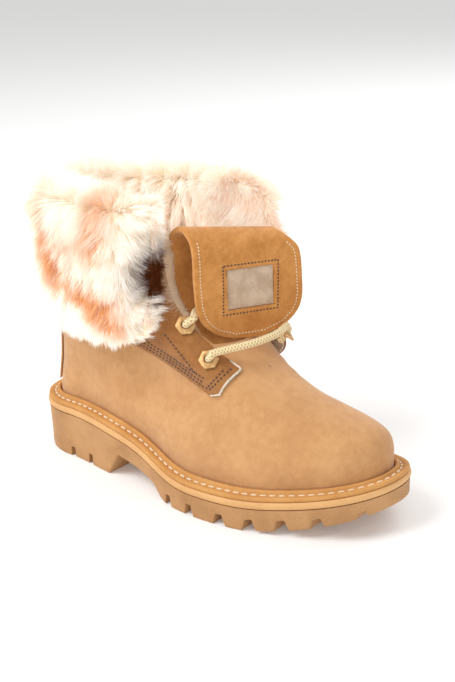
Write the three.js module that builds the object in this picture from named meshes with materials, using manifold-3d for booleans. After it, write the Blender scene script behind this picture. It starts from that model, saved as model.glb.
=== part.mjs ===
// A right sheepskin-lined work boot, in millimetres: +X to the toe, +Y to the inner (big toe) side, +Z up.
// The origin lies on the floor, in the middle of the heel's flat tread.
// A nubuck upper stands on a welt, a midsole and a lugged outsole. The shaft is folded down, so that its fur
// shows as a deep cuff, and the wide tongue comes out of the open throat and hangs forward over the laces.

import * as THREE from "three";
import { mergeVertices } from "three/addons/utils/BufferGeometryUtils.js";
import Module from "manifold-3d";

const wasm = await Module();
wasm.setup();

// Driving sizes
const SOLE_LENGTH = 290;
const HEEL_CENTRE = 38; // from the heel's back edge to the origin
const HEEL_WIDTH = 73;
const WAIST_WIDTH = 73;
const BALL_WIDTH = 104;
const TOE_DRIFT = 9; // how far the toe's tip lies towards the big toe
const HEEL_HEIGHT = 38; // floor to the top of the midsole, at the heel
const BALL_HEIGHT = 21; // the same, at the ball
const TOE_LIFT = 14; // rise of the midsole from the ball to the toe's tip
const TOE_SPRING = 20; // rise of the tread from the ball to the toe's tip
const MIDSOLE_THICKNESS = 5;
const MIDSOLE_PROUD = 0.7; // how far the midsole's round edge stands past the outsole
const OUTSOLE_DRAFT = 1.2; // how far the outsole's side leans in towards the floor
const LUG_DEPTH = 8;
const WELT_WIDTH = 9;
const WELT_THICKNESS = 3;
const WELT_BEAD = 2.4; // height of the welt's raised inner edge above its shelf
const SHAFT_HEIGHT = 146; // top of the midsole at the heel to the leather's top edge
const SHAFT_WIDTH = 67;
const SHAFT_TAIL = 46; // rounding of the shaft's back, seen from above
const SHAFT_NOSE = 48; // rounding of its front
const SPLAY = 22; // how far the inner side of the open shaft leans out at the front
const WALL = 2.4;
const OVERLAY_THICKNESS = 1.6;
const INSOLE_THICKNESS = 4;
const COUNTER_THICKNESS = 1.3;
const GAP = 0.35; // between pieces that touch
const OVERLAY_GAP = 0.5; // under an overlay
const THROAT_WIDTH = 44;
const EYELET_WIDTH = 12; // across flats
const EYELET_THICKNESS = 1.2;
const EYELET_HOLE = 6;
const LACE = 5;
const TONGUE_THICKNESS = 3.6;
const TONGUE_WIDTH = 82;
const FOLD_DROOP = 0.12; // slope of the fold, down towards the inner side
const TONGUE_TWIST = 30; // degrees that the flap is turned towards the outer side
const FUR_DEPTH = 11;
const FUR_LINING = 8;
const ROLL_HEIGHT = 17; // the fur's top above the leather's top edge
const LOCK_LENGTH = 15;

const mix = (a, b, share) => a + (b - a) * share;
const clamp = (value, low, high) => Math.min(high, Math.max(low, value));
const smooth = (value) => {
  const s = clamp(value, 0, 1);
  return s * s * (3 - 2 * s);
};
// A rounded end: 0 at the tip, 1 from the radius on, an arc of a circle when power is 2.
const rounded = (distance, radius, power = 2) =>
  Math.pow(1 - Math.pow(1 - clamp(distance / radius, 0, 1), power), 1 / power);

// A column of a table at any place between its rows, on a smooth curve through them.
function along(rows, column, at) {
  const last = rows.length - 1;
  let k = 0;
  while (k < last - 1 && at > rows[k + 1].at) k += 1;
  const slope = (i) => {
    const a = rows[Math.max(i - 1, 0)];
    const b = rows[Math.min(i + 1, last)];
    return (b[column] - a[column]) / (b.at - a.at);
  };
  const [from, to] = [rows[k], rows[k + 1]];
  const span = to.at - from.at;
  const s = clamp((at - from.at) / span, 0, 1);
  const [s2, s3] = [s * s, s * s * s];
  return (
    (2 * s3 - 3 * s2 + 1) * from[column] +
    (s3 - 2 * s2 + s) * span * slope(k) +
    (3 * s2 - 2 * s3) * to[column] +
    (s3 - s2) * span * slope(k + 1)
  );
}

// The same on straight lines between the rows, for profiles with corners.
function straight(rows, column, at) {
  let k = 0;
  while (k < rows.length - 2 && at > rows[k + 1].at) k += 1;
  const [from, to] = [rows[k], rows[k + 1]];
  return mix(from[column], to[column], clamp((at - from.at) / (to.at - from.at), 0, 1));
}

// The sole's plan: full width at shares of the length, and the outer side's share of that width.
const PLAN = [
  { at: 0.0, width: HEEL_WIDTH, outer: 0.475 },
  { at: 0.15, width: 0.985 * HEEL_WIDTH, outer: 0.47 },
  { at: 0.28, width: 1.01 * HEEL_WIDTH, outer: 0.538 },
  { at: 0.4, width: WAIST_WIDTH, outer: 0.59 },
  { at: 0.55, width: 0.893 * BALL_WIDTH, outer: 0.587 },
  { at: 0.7, width: BALL_WIDTH, outer: 0.52 },
  { at: 0.85, width: 0.945 * BALL_WIDTH, outer: 0.476 },
  { at: 1.0, width: 0.9 * BALL_WIDTH, outer: 0.49 },
];
const HEEL_ROUND = 0.13 * SOLE_LENGTH;
const TOE_ROUND = 0.27 * SOLE_LENGTH;
const TOE_POWER = 2.2;
const OUTER = -1;
const INNER = 1;

const lengthShare = (x) => (x + HEEL_CENTRE) / SOLE_LENGTH;
const xAt = (share) => share * SOLE_LENGTH - HEEL_CENTRE;
const centreDrift = (x) => TOE_DRIFT * clamp((lengthShare(x) - 0.6) / 0.4, 0, 1.02) ** 2;

function halfWidth(x, side) {
  const share = clamp(lengthShare(x), 0, 1);
  const outer = along(PLAN, "outer", share);
  return along(PLAN, "width", share) * (side === OUTER ? outer : 1 - outer);
}

// A point of the sole's outline, set in by inset, at a share of the way from heel to toe.
function soleEdge(share, side, inset) {
  const back = xAt(0) + inset;
  const front = xAt(1) - inset;
  const x = mix(back, front, share);
  const ends =
    rounded(x - back, HEEL_ROUND - inset) * rounded(front - x, TOE_ROUND - inset, TOE_POWER);
  return { x, y: centreDrift(x) + side * (halfWidth(x, side) - inset) * ends };
}

// Heights of the sole along its length
function midsoleTop(x) {
  const u = lengthShare(x);
  const drop = smooth((u - 0.22) / 0.38);
  return mix(HEEL_HEIGHT, BALL_HEIGHT, drop) + TOE_LIFT * clamp((u - 0.66) / 0.34, 0, 1.02) ** 2;
}

// The tread's profile: heel, breast, arch and the forepart's rear slope, as shares of the heel's height.
const TREAD = [
  { at: 0.283, height: 0 },
  { at: 0.322, height: 0.45 },
  { at: 0.386, height: 0.355 },
  { at: 0.455, height: 0.24 },
  { at: 0.468, height: 0.16 },
  { at: 0.482, height: 0.06 },
  { at: 0.505, height: 0 },
];
function treadHeight(x) {
  const u = lengthShare(x);
  const spring = TOE_SPRING * clamp((u - 0.67) / 0.33, 0, 1.02) ** 2;
  return straight(TREAD, "height", clamp(u, TREAD[0].at, TREAD.at(-1).at)) * HEEL_HEIGHT + spring;
}

// Closed solids from grids of points

function solidFrom(points, faces) {
  const positions = new Float32Array(points.flat());
  return new wasm.Manifold(
    new wasm.Mesh({
      numProp: 3,
      vertProperties: positions,
      triVerts: new Uint32Array(faces.flat()),
    }),
  );
}

// Turns three.js's own closed geometries into solids.
function solidOf(geometry) {
  const plain = geometry.clone();
  plain.deleteAttribute("normal");
  plain.deleteAttribute("uv");
  const merged = mergeVertices(plain, 1e-4);
  return new wasm.Manifold(
    new wasm.Mesh({
      numProp: 3,
      vertProperties: new Float32Array(merged.attributes.position.array),
      triVerts: new Uint32Array(merged.index.array),
    }),
  );
}

// rings: equally long closed rows of points, from first to last. The ends are closed by the two caps.
function lofted(rings, capFirst, capLast) {
  const n = rings[0].length;
  const points = rings.flat();
  const faces = [];
  for (let r = 0; r < rings.length - 1; r += 1) {
    for (let i = 0; i < n; i += 1) {
      const j = (i + 1) % n;
      const [a, b, c, d] = [r * n + i, r * n + j, (r + 1) * n + j, (r + 1) * n + i];
      faces.push([a, b, c], [a, c, d]);
    }
  }
  if (capFirst) faces.push(...capFirst(0).map(([a, b, c]) => [a, c, b]));
  if (capLast) faces.push(...capLast((rings.length - 1) * n));
  const made = solidFrom(points, faces);
  if (made.volume() >= 0) return made;
  return solidFrom(points, faces.map(([a, b, c]) => [a, c, b]));
}

// A cap for a ring that runs out along one side and back along the other: strips across it.
function stripCap(count) {
  return (base) => {
    const faces = [];
    const half = count / 2;
    for (let i = 0; i < half; i += 1) {
      const [a, b] = [i, i + 1];
      const [c, d] = [(count - i - 1) % count, (count - i) % count];
      if (i > 0) faces.push([base + a, base + b, base + d]);
      if (i < half - 1 || b !== c) faces.push([base + b, base + c, base + d]);
    }
    return faces.filter(([p, q, r]) => p !== q && q !== r && p !== r);
  };
}

// A cap for a small ring: a fan from its first point.
const fanCap = (count) => (base) =>
  Array.from({ length: count - 2 }, (unused, i) => [base, base + i + 1, base + i + 2]);

// Stations along the sole, closer together at both ends and at the corners of the tread.
const SOLE_STEPS = 34;
function soleShares() {
  const even = Array.from(
    { length: SOLE_STEPS + 1 },
    (unused, i) => (1 - Math.cos((Math.PI * i) / SOLE_STEPS)) / 2,
  );
  const corners = TREAD.map((row) => row.at);
  const kept = even.filter((s) => corners.every((c) => Math.abs(s - c) > 0.012));
  return [...kept, ...corners].sort((a, b) => a - b);
}
const SHARES = soleShares();

// One ring of the sole's outline: forward along the outer side, back along the inner.
function soleRing(inset, heightAt) {
  const point = (share, side) => {
    const { x, y } = soleEdge(share, side, inset);
    return [x, y, heightAt(x)];
  };
  const outward = SHARES.map((s) => point(s, OUTER));
  const inward = SHARES.slice(1, -1).reverse().map((s) => point(s, INNER));
  return [...outward, ...inward];
}

// A layer of the sole from rows of { inset, height(x) }, bottom to top.
function layer(rows) {
  const rings = rows.map(({ inset, height }) => soleRing(inset, height));
  const cap = stripCap(rings[0].length);
  return lofted(rings, cap, cap);
}

// A closed band round the sole from a closed section of { inset, height(x) }.
function band(section) {
  const rings = section.map(({ inset, height }) => soleRing(inset, height));
  const n = rings[0].length;
  const points = rings.flat();
  const faces = [];
  for (let r = 0; r < rings.length; r += 1) {
    const next = (r + 1) % rings.length;
    for (let i = 0; i < n; i += 1) {
      const j = (i + 1) % n;
      faces.push([r * n + i, r * n + j, next * n + j], [r * n + i, next * n + j, next * n + i]);
    }
  }
  const made = solidFrom(points, faces);
  if (made.volume() >= 0) return made;
  return solidFrom(points, faces.map(([a, b, c]) => [a, c, b]));
}

// Sole

// Notches in the sole's side: share of the length, width at the top and at the floor, and depth as a share of
// LUG_DEPTH.
const NOTCHES = [
  { at: 0.042, top: 4, floor: 4, depth: 0.85 },
  { at: 0.142, top: 4, floor: 4.5, depth: 0.95 },
  { at: 0.212, top: 4, floor: 5, depth: 1 },
  { at: 0.516, top: 4, floor: 6.5, depth: 1 },
  { at: 0.586, top: 4, floor: 7.5, depth: 1 },
  { at: 0.671, top: 4.5, floor: 9, depth: 1 },
  { at: 0.744, top: 4.5, floor: 9.5, depth: 1 },
  { at: 0.814, top: 4.5, floor: 9.5, depth: 0.95 },
  { at: 0.886, top: 4.5, floor: 8, depth: 0.8 },
  { at: 0.962, top: 4, floor: 5, depth: 0.5 },
];
const LUG_REACH = 21; // how far the side lugs run in from the edge
const CHANNEL = 4.5; // the groove between the side lugs and the middle pads
const CHANNEL_DEPTH = 0.6 * LUG_DEPTH;
const BELOW = 6; // how far cutters reach past what they cut

function notchCutter({ at, top, floor, depth }, side) {
  const x = xAt(at);
  const high = treadHeight(x) + depth * LUG_DEPTH;
  const low = treadHeight(x) - BELOW;
  const flare = (floor - top) / 2 / (depth * LUG_DEPTH);
  const lowHalf = top / 2 + flare * (high - low);
  const section = new THREE.Shape([
    new THREE.Vector2(x - lowHalf, low),
    new THREE.Vector2(x + lowHalf, low),
    new THREE.Vector2(x + top / 2, high),
    new THREE.Vector2(x - top / 2, high),
  ]);
  const run = BALL_WIDTH / 2 + BELOW;
  const made = new THREE.ExtrudeGeometry(section, { depth: run, bevelEnabled: false });
  made.rotateX(Math.PI / 2); // the section's height turns up to +Z, and its run to -Y
  const middle = centreDrift(x);
  const start = Math.max(halfWidth(x, side) - LUG_REACH, 0);
  made.translate(0, side === OUTER ? middle - start : middle + start + run, 0);
  return solidOf(made);
}

function makeOutsole() {
  const top = (x) => midsoleTop(x) - MIDSOLE_THICKNESS - GAP;
  let solid = layer([
    { inset: OUTSOLE_DRAFT, height: treadHeight },
    { inset: OUTSOLE_DRAFT / 3, height: (x) => mix(treadHeight(x), top(x), 0.5) },
    { inset: 0, height: top },
  ]);
  const channelTop = (x) => treadHeight(x) + CHANNEL_DEPTH;
  const under = (x) => treadHeight(x) - BELOW;
  const outer = layer([
    { inset: LUG_REACH, height: under },
    { inset: LUG_REACH, height: channelTop },
  ]);
  const pads = layer([
    { inset: LUG_REACH + CHANNEL, height: (x) => under(x) - 1 },
    { inset: LUG_REACH + CHANNEL, height: (x) => channelTop(x) + 1 },
  ]);
  solid = solid.subtract(outer.subtract(pads));
  for (const notch of NOTCHES) {
    for (const side of [OUTER, INNER]) solid = solid.subtract(notchCutter(notch, side));
  }
  return solid;
}

function makeMidsole() {
  const bottom = (x) => midsoleTop(x) - MIDSOLE_THICKNESS;
  const part = (share) => (x) => bottom(x) + share * MIDSOLE_THICKNESS;
  return layer([
    { inset: 0.5, height: part(0) },
    { inset: -MIDSOLE_PROUD, height: part(0.28) },
    { inset: -MIDSOLE_PROUD, height: part(0.66) },
    { inset: 0.4, height: part(1) },
  ]);
}

const STITCH_INSET = 5; // from the welt's outer edge to its row of stitches
function makeWelt() {
  const over = (rise) => (x) => midsoleTop(x) + GAP + rise;
  return band([
    { inset: WELT_WIDTH, height: over(0) },
    { inset: 0.6, height: over(0) },
    { inset: 0.3, height: over(0.5 * WELT_THICKNESS) },
    { inset: 1.0, height: over(0.9 * WELT_THICKNESS) },
    { inset: STITCH_INSET - 1.1, height: over(WELT_THICKNESS) },
    { inset: STITCH_INSET, height: over(0.75 * WELT_THICKNESS) },
    { inset: STITCH_INSET + 1.1, height: over(1.1 * WELT_THICKNESS) },
    { inset: WELT_WIDTH - 2.2, height: over(WELT_THICKNESS + 0.9 * WELT_BEAD) },
    { inset: WELT_WIDTH - 0.9, height: over(WELT_THICKNESS + WELT_BEAD) },
    { inset: WELT_WIDTH, height: over(WELT_THICKNESS + 0.6 * WELT_BEAD) },
  ]);
}

function makeInsole() {
  const inset = FEATHER + WALL + 2 * GAP;
  const over = (rise) => (x) => midsoleTop(x) + GAP + rise;
  return layer([
    { inset, height: over(0) },
    { inset, height: over(0.7 * INSOLE_THICKNESS) },
    { inset: inset + 1.5, height: over(INSOLE_THICKNESS) },
  ]);
}

// Upper: rings that lie one above the other, from the sole's edge to the leather's top.
// back and front say how far a ring's two ends lie inside the welt's inner edge, in shares of the sole's
// length. backUp and frontUp are its height there above the sole, in shares of the shaft's height. heel and
// fore widen the foot at both ends, in shares of the ball's width. leg says how far the shaft's width rules.
const RINGS = [
  { at: 0, back: 0, front: 0, backUp: 0, frontUp: 0, heel: 0, fore: 0, leg: 0 },
  { at: 0.04, back: 0, front: 0, backUp: 0.037, frontUp: 0.042, heel: 0, fore: 0, leg: 0 },
  { at: 0.1, back: 0.006, front: 0.001, backUp: 0.105, frontUp: 0.106, heel: 0.004, fore: 0.01, leg: 0 },
  { at: 0.16, back: 0.011, front: 0.006, backUp: 0.159, frontUp: 0.156, heel: 0.004, fore: -0.01, leg: 0 },
  { at: 0.22, back: 0.015, front: 0.019, backUp: 0.207, frontUp: 0.192, heel: 0.004, fore: -0.05, leg: 0.04 },
  { at: 0.28, back: 0.018, front: 0.042, backUp: 0.255, frontUp: 0.222, heel: 0.004, fore: -0.095, leg: 0.1 },
  { at: 0.34, back: 0.021, front: 0.077, backUp: 0.302, frontUp: 0.248, heel: 0.006, fore: -0.13, leg: 0.16 },
  { at: 0.41, back: 0.024, front: 0.13, backUp: 0.35, frontUp: 0.278, heel: 0.01, fore: -0.155, leg: 0.24 },
  { at: 0.55, back: 0.029, front: 0.25, backUp: 0.459, frontUp: 0.362, heel: 0.02, fore: -0.165, leg: 0.45 },
  { at: 0.62, back: 0.032, front: 0.313, backUp: 0.52, frontUp: 0.418, heel: 0.025, fore: -0.15, leg: 0.6 },
  { at: 0.69, back: 0.034, front: 0.371, backUp: 0.588, frontUp: 0.485, heel: 0.03, fore: -0.13, leg: 0.75 },
  { at: 0.76, back: 0.036, front: 0.423, backUp: 0.663, frontUp: 0.56, heel: 0.03, fore: -0.11, leg: 0.88 },
  { at: 0.83, back: 0.038, front: 0.466, backUp: 0.744, frontUp: 0.653, heel: 0.03, fore: -0.1, leg: 1.0 },
  { at: 0.91, back: 0.039, front: 0.487, backUp: 0.86, frontUp: 0.8, heel: 0.03, fore: -0.1, leg: 1.0 },
  { at: 1.0, back: 0.039, front: 0.492, backUp: 1.0, frontUp: 1.0, heel: 0.03, fore: -0.1, leg: 1.0 },
];
const FEATHER = WELT_WIDTH + 2 * GAP; // where the upper meets the sole, in from the welt's outer edge

// The foot's own half widths above the sole, in shares of the ball's width, and how far each side of it
// narrows towards the instep's ridge, as a share of the column fore.
const BODY = [
  { at: 0.0, outer: 0.225, inner: 0.262, outerNarrow: 1.0, innerNarrow: 0.4 },
  { at: 0.15, outer: 0.225, inner: 0.265, outerNarrow: 1.0, innerNarrow: 0.4 },
  { at: 0.28, outer: 0.275, inner: 0.265, outerNarrow: 1.0, innerNarrow: 0.3 },
  { at: 0.4, outer: 0.31, inner: 0.262, outerNarrow: 1.0, innerNarrow: 0.25 },
  { at: 0.55, outer: 0.415, inner: 0.3, outerNarrow: 1.0, innerNarrow: 0.4 },
  { at: 0.7, outer: 0.425, inner: 0.37, outerNarrow: 1.0, innerNarrow: 0.85 },
  { at: 0.85, outer: 0.355, inner: 0.39, outerNarrow: 1.0, innerNarrow: 1.0 },
  { at: 1.0, outer: 0.345, inner: 0.36, outerNarrow: 1.0, innerNarrow: 1.0 },
];
const BODY_FROM = 0.065; // the rings between which the foot's own widths take over from the sole's
const BODY_TO = 0.24;

const ringEnds = (rise) => [
  xAt(along(RINGS, "back", rise)) + FEATHER,
  xAt(1 - along(RINGS, "front", rise)) - FEATHER,
];

// A point of the upper's outer face. turn runs from -0.5 at the front, along the outer side, through 0 at
// the back seam, to 0.5 at the front again; rise runs from 0 at the sole to 1 at the leather's top.
function upperFace(turn, rise) {
  const row = (column) => along(RINGS, column, rise);
  const side = turn < 0 ? OUTER : INNER;
  const share = (1 - Math.cos(2 * Math.PI * Math.abs(turn))) / 2;
  const [back, front] = ringEnds(rise);
  const x = mix(back, front, share);
  const shaft = row("leg");
  const swell = mix(row("heel"), row("fore"), smooth((lengthShare(x) - 0.2) / 0.35));
  const place = clamp(lengthShare(x), 0, 1);
  const body = along(BODY, side === OUTER ? "outer" : "inner", place) * BALL_WIDTH;
  const narrow = along(BODY, side === OUTER ? "outerNarrow" : "innerNarrow", place);
  const foot =
    mix(halfWidth(x, side) - FEATHER, body, smooth((rise - BODY_FROM) / (BODY_TO - BODY_FROM))) +
    swell * BALL_WIDTH * (swell < 0 ? narrow : 1);
  const half = mix(foot, SHAFT_WIDTH / 2, shaft);
  const tail = mix(HEEL_ROUND - FEATHER, SHAFT_TAIL, shaft);
  const nose = mix(TOE_ROUND - FEATHER, SHAFT_NOSE, smooth(shaft * 1.6));
  const ends = rounded(x - back, tail) * rounded(front - x, nose, mix(TOE_POWER, 2, shaft));
  const leaning = smooth((rise - 0.42) / 0.5) * smooth((lengthShare(x) - 0.2) / 0.28);
  const splay = side === INNER ? SPLAY * leaning : 0;
  const y = centreDrift(x) * (1 - smooth(shaft)) + side * half * ends + splay;
  const dip = midsoleTop(x) - mix(midsoleTop(back), midsoleTop(front), share);
  const backLevel = HEEL_HEIGHT + row("backUp") * SHAFT_HEIGHT;
  const frontLevel = mix(midsoleTop(front), HEEL_HEIGHT, rise) + row("frontUp") * SHAFT_HEIGHT;
  const z = GAP + mix(backLevel, frontLevel, share) + dip * (1 - smooth(rise / 0.5));
  return new THREE.Vector3(x, y, z);
}

// The same face moved out by a distance, along its own normal.
function offFace(turn, rise, out) {
  const step = 2e-3;
  const at = (t, r) => upperFace(t, clamp(r, 0, 1));
  const wrap = (t) => (t > 0.5 ? t - 1 : t < -0.5 ? t + 1 : t);
  const across = at(wrap(turn + step), rise).sub(at(wrap(turn - step), rise));
  const up = at(turn, rise + step).sub(at(turn, rise - step));
  const normal = across.cross(up).normalize().negate();
  return upperFace(turn, rise).addScaledVector(normal, out);
}

const AROUND = 56; // points round each ring of the upper
const UP = 13; // steps from the sole to the top
const RISES = Array.from({ length: UP + 1 }, (unused, i) => i / UP);
const TURNS = Array.from({ length: AROUND }, (unused, i) => (i + 0.5) / AROUND - 0.5);

// A shell of the upper's own form between two distances from its outer face. lift may move it out further.
function shell(inner, outer, from = 0, to = 1, lift = () => 0) {
  const rises = [from, ...RISES.filter((r) => r > from + 0.01 && r < to - 0.01), to];
  const ring = (rise, out) =>
    TURNS.map((turn) => offFace(turn, rise, out + lift(turn, rise)).toArray());
  const outside = rises.map((rise) => ring(rise, outer));
  const inside = rises.map((rise) => ring(rise, inner)).reverse();
  const rings = [...outside, ...inside, outside[0]];
  const n = AROUND;
  const points = rings.slice(0, -1).flat();
  const faces = [];
  for (let r = 0; r < rings.length - 1; r += 1) {
    const next = (r + 1) % (rings.length - 1);
    for (let i = 0; i < n; i += 1) {
      const j = (i + 1) % n;
      const [a, b, c, d] = [r * n + i, r * n + j, next * n + j, next * n + i];
      // Both faces of the wall are split along the same diagonal, so that shells lie evenly on each other.
      if (r < rises.length) faces.push([a, b, c], [a, c, d]);
      else faces.push([a, b, d], [b, c, d]);
    }
  }
  const made = solidFrom(points, faces);
  if (made.volume() >= 0) return made;
  return solidFrom(points, faces.map(([a, b, c]) => [a, c, b]));
}

// The turn at which a ring passes a place along the sole.
function turnAt(x, side, rise) {
  const [back, front] = ringEnds(rise);
  return (side * Math.acos(1 - 2 * clamp((x - back) / (front - back), 0, 1))) / (2 * Math.PI);
}

// The turn and rise of the outer face at a place and height on one side.
function faceAt(x, z, side) {
  let [low, high] = [0, 1];
  for (let i = 0; i < 30; i += 1) {
    const middle = (low + high) / 2;
    if (upperFace(turnAt(x, side, middle), middle).z < z) low = middle;
    else high = middle;
  }
  return { turn: turnAt(x, side, low), rise: low };
}

const upAt = (share) => HEEL_HEIGHT + share * SHAFT_HEIGHT;

// A prism that runs along Y, from an outline of [x, z].
function sidePrism(outline, fromY, toY) {
  const shape = new THREE.Shape(outline.map(([x, z]) => new THREE.Vector2(x, z)));
  const made = new THREE.ExtrudeGeometry(shape, { depth: toY - fromY, bevelEnabled: false });
  made.rotateX(Math.PI / 2);
  made.translate(0, toY, 0);
  return solidOf(made);
}

// A prism that stands on an outline of [x, y].
function planPrism(outline, fromZ, toZ) {
  const shape = new THREE.Shape(outline.map(([x, y]) => new THREE.Vector2(x, y)));
  const made = new THREE.ExtrudeGeometry(shape, { depth: toZ - fromZ, bevelEnabled: false });
  made.translate(0, 0, fromZ);
  return solidOf(made);
}

// The open throat seen from above, round its edge: shares of the sole's length, and of each side's reach.
const THROAT = [
  { along: 0.36, side: OUTER, reach: 0.9 },
  { along: 0.5, side: OUTER, reach: 0.95 },
  { along: 0.585, side: OUTER, reach: 0.7 },
  { along: 0.615, side: OUTER, reach: 0.4 },
  { along: 0.62, side: OUTER, reach: 0.0 },
  { along: 0.615, side: INNER, reach: 0.4 },
  { along: 0.585, side: INNER, reach: 0.8 },
  { along: 0.5, side: INNER, reach: 1.1 },
  { along: 0.36, side: INNER, reach: 0.9 },
];
// The quarters' facing edges: they run on past the throat's front end, over the vamp.
const FACING = [
  { along: 0.36, side: OUTER, reach: 0.9 },
  { along: 0.5, side: OUTER, reach: 0.97 },
  { along: 0.585, side: OUTER, reach: 0.85 },
  { along: 0.7, side: OUTER, reach: 0.6 },
  { along: 0.7, side: INNER, reach: 1.5 },
  { along: 0.6, side: INNER, reach: 1.4 },
  { along: 0.5, side: INNER, reach: 1.2 },
  { along: 0.36, side: INNER, reach: 0.9 },
];
// Heights of the cutter's sections, and how far its inner side leans out there, as shares.
const THROAT_LEAN = [
  { up: 0.2, lean: 0.0 },
  { up: 0.5, lean: 0.0 },
  { up: 0.6, lean: 0.3 },
  { up: 0.7, lean: 0.65 },
  { up: 0.85, lean: 1.0 },
  { up: 1.2, lean: 1.0 },
];
function throatCutter(rows) {
  const rings = THROAT_LEAN.map(({ up, lean }) =>
    rows.map(({ along: share, side, reach }) => {
      const splay = side === INNER ? lean * SPLAY * smooth((share - 0.2) / 0.28) : 0;
      return [xAt(share), side * reach * THROAT_WIDTH / 2 + splay, upAt(up)];
    }),
  );
  return lofted(rings, fanCap(rows.length), fanCap(rows.length));
}

// Quarters: the overlays that carry the eyelets. Their lower edge falls from the heel to the front corner.
const QUARTER = [
  { along: 0.1, up: 0.62 },
  { along: 0.2, up: 0.5 },
  { along: 0.39, up: 0.4 },
  { along: 0.5, up: 0.33 },
  { along: 0.595, up: 0.265 },
  { along: 0.62, up: 0.28 },
  { along: 0.65, up: 0.4 },
  { along: 0.65, up: 1.1 },
  { along: 0.1, up: 1.1 },
];
const FLAP_OPEN = 9; // how far the inner quarter's front edge stands off the foot

// How far the inner quarter hangs open at a place, towards its facing edge.
function flapLift(turn, rise) {
  const point = upperFace(turn, rise);
  return turn > 0 ? FLAP_OPEN * smooth((lengthShare(point.x) - 0.46) / 0.17) : 0;
}

function makeQuarter(side) {
  const lift = side === INNER ? flapLift : undefined;
  const form = shell(OVERLAY_GAP, OVERLAY_GAP + OVERLAY_THICKNESS, 0.15, 1, lift);
  const outline = QUARTER.map(({ along: share, up }) => [xAt(share), upAt(up)]);
  const [from, to] = side === OUTER ? [-BALL_WIDTH, 0] : [0, BALL_WIDTH];
  return form.intersect(sidePrism(outline, from, to)).subtract(throatCutter(FACING));
}

const COUNTER_WIDTH = 0.4 * HEEL_WIDTH;
function makeCounter() {
  const form = shell(OVERLAY_GAP, OVERLAY_GAP + COUNTER_THICKNESS, 0.075, 0.66);
  const half = COUNTER_WIDTH / 2;
  const outline = [
    [xAt(-0.05), half],
    [xAt(-0.05), -half],
    [xAt(0.09), -half],
    [xAt(0.09), half],
  ];
  return form.intersect(planPrism(outline, 0, upAt(0.6)));
}

// Eyelets: hexagonal plates with a round hole, on the quarters' outer faces.
const EYELETS = [
  { name: "eyelet_outer_low", side: OUTER, along: 0.58, up: 0.405 },
  { name: "eyelet_outer_high", side: OUTER, along: 0.507, up: 0.53 },
  { name: "eyelet_inner_low", side: INNER, along: 0.62, up: 0.385 },
  { name: "eyelet_inner_high", side: INNER, along: 0.515, up: 0.52 },
];

// The eyelet's seat: its centre on the quarter's face, and the matrix that lays a plate there.
function eyeletSeat({ side, along: share, up }) {
  const { turn, rise } = faceAt(xAt(share), upAt(up), side);
  const at = (t, r) => offFace(t, r, OVERLAY_GAP + OVERLAY_THICKNESS + flapLift(t, r));
  const centre = at(turn, rise);
  const step = 0.01;
  const across = at(turn + step, rise).sub(at(turn - step, rise));
  const upward = at(turn, rise + step).sub(at(turn, rise - step));
  const normal = upward.cross(across).normalize();
  const aside = new THREE.Vector3(1, 0, 0).cross(normal).normalize();
  const ahead = normal.clone().cross(aside);
  const matrix = new THREE.Matrix4().makeBasis(aside, ahead, normal).setPosition(centre);
  return { centre, normal, matrix };
}
const EYELET_SEAT = 0.8; // the flat plate's clearance over the curved leather

function makeEyelet(eyelet) {
  const radius = EYELET_WIDTH / Math.sqrt(3);
  const shape = new THREE.Shape(
    Array.from({ length: 6 }, (unused, i) => {
      const angle = (i * Math.PI) / 3;
      return new THREE.Vector2(radius * Math.cos(angle), radius * Math.sin(angle));
    }),
  );
  shape.holes.push(new THREE.Path().absarc(0, 0, EYELET_HOLE / 2, 0, 2 * Math.PI, true));
  const made = new THREE.ExtrudeGeometry(shape, {
    depth: EYELET_THICKNESS,
    bevelEnabled: false,
    curveSegments: 6,
  });
  made.translate(0, 0, EYELET_SEAT);
  made.applyMatrix4(eyeletSeat(eyelet).matrix);
  return solidOf(made);
}

function eyeletBore(eyelet, depth) {
  const made = new THREE.CylinderGeometry(EYELET_HOLE / 2, EYELET_HOLE / 2, depth + 3, 12);
  made.rotateX(Math.PI / 2);
  made.translate(0, 0, (3 - depth) / 2);
  made.applyMatrix4(eyeletSeat(eyelet).matrix);
  return solidOf(made);
}

// Lace: bars between facing eyelets, through points given as shares of the way, with their rise over it.
function makeBar(outer, inner, rows) {
  const start = eyeletSeat(outer);
  const end = eyeletSeat(inner);
  const over = EYELET_SEAT + EYELET_THICKNESS + LACE / 2 + 3 * GAP;
  const from = start.centre.clone().addScaledVector(start.normal, over);
  const to = end.centre.clone().addScaledVector(end.normal, over);
  const points = rows.map(({ at, ahead, rise }) => {
    const point = from.clone().lerp(to, at);
    point.x += ahead * LACE;
    point.z += rise * LACE;
    return point;
  });
  // Each end leaves its eyelet level with the plate.
  const level = (seat, point, towards) => {
    const way = towards.clone().sub(point).projectOnPlane(seat.normal).normalize();
    return point.clone().addScaledVector(way, 0.5 * EYELET_WIDTH);
  };
  const path = new THREE.CatmullRomCurve3([
    from,
    level(start, from, to),
    ...points,
    level(end, to, from),
    to,
  ]);
  const section = new THREE.Shape(
    Array.from({ length: 8 }, (unused, i) => {
      const angle = (i * Math.PI) / 4;
      return new THREE.Vector2((LACE / 2) * Math.cos(angle), (LACE / 2) * Math.sin(angle));
    }),
  );
  const made = new THREE.ExtrudeGeometry(section, { steps: 14, extrudePath: path, bevelEnabled: false });
  return solidOf(made);
}
const LOW_BAR = [
  { at: 0.35, ahead: 1.2, rise: 1.7 },
  { at: 0.62, ahead: 1.2, rise: 1.9 },
  { at: 0.85, ahead: 0.7, rise: 1.6 },
];
const HIGH_BAR = [
  { at: 0.18, ahead: -0.4, rise: 0.9 },
  { at: 0.4, ahead: 0.0, rise: 1.1 },
  { at: 0.7, ahead: 0.5, rise: 1.1 },
];

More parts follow.
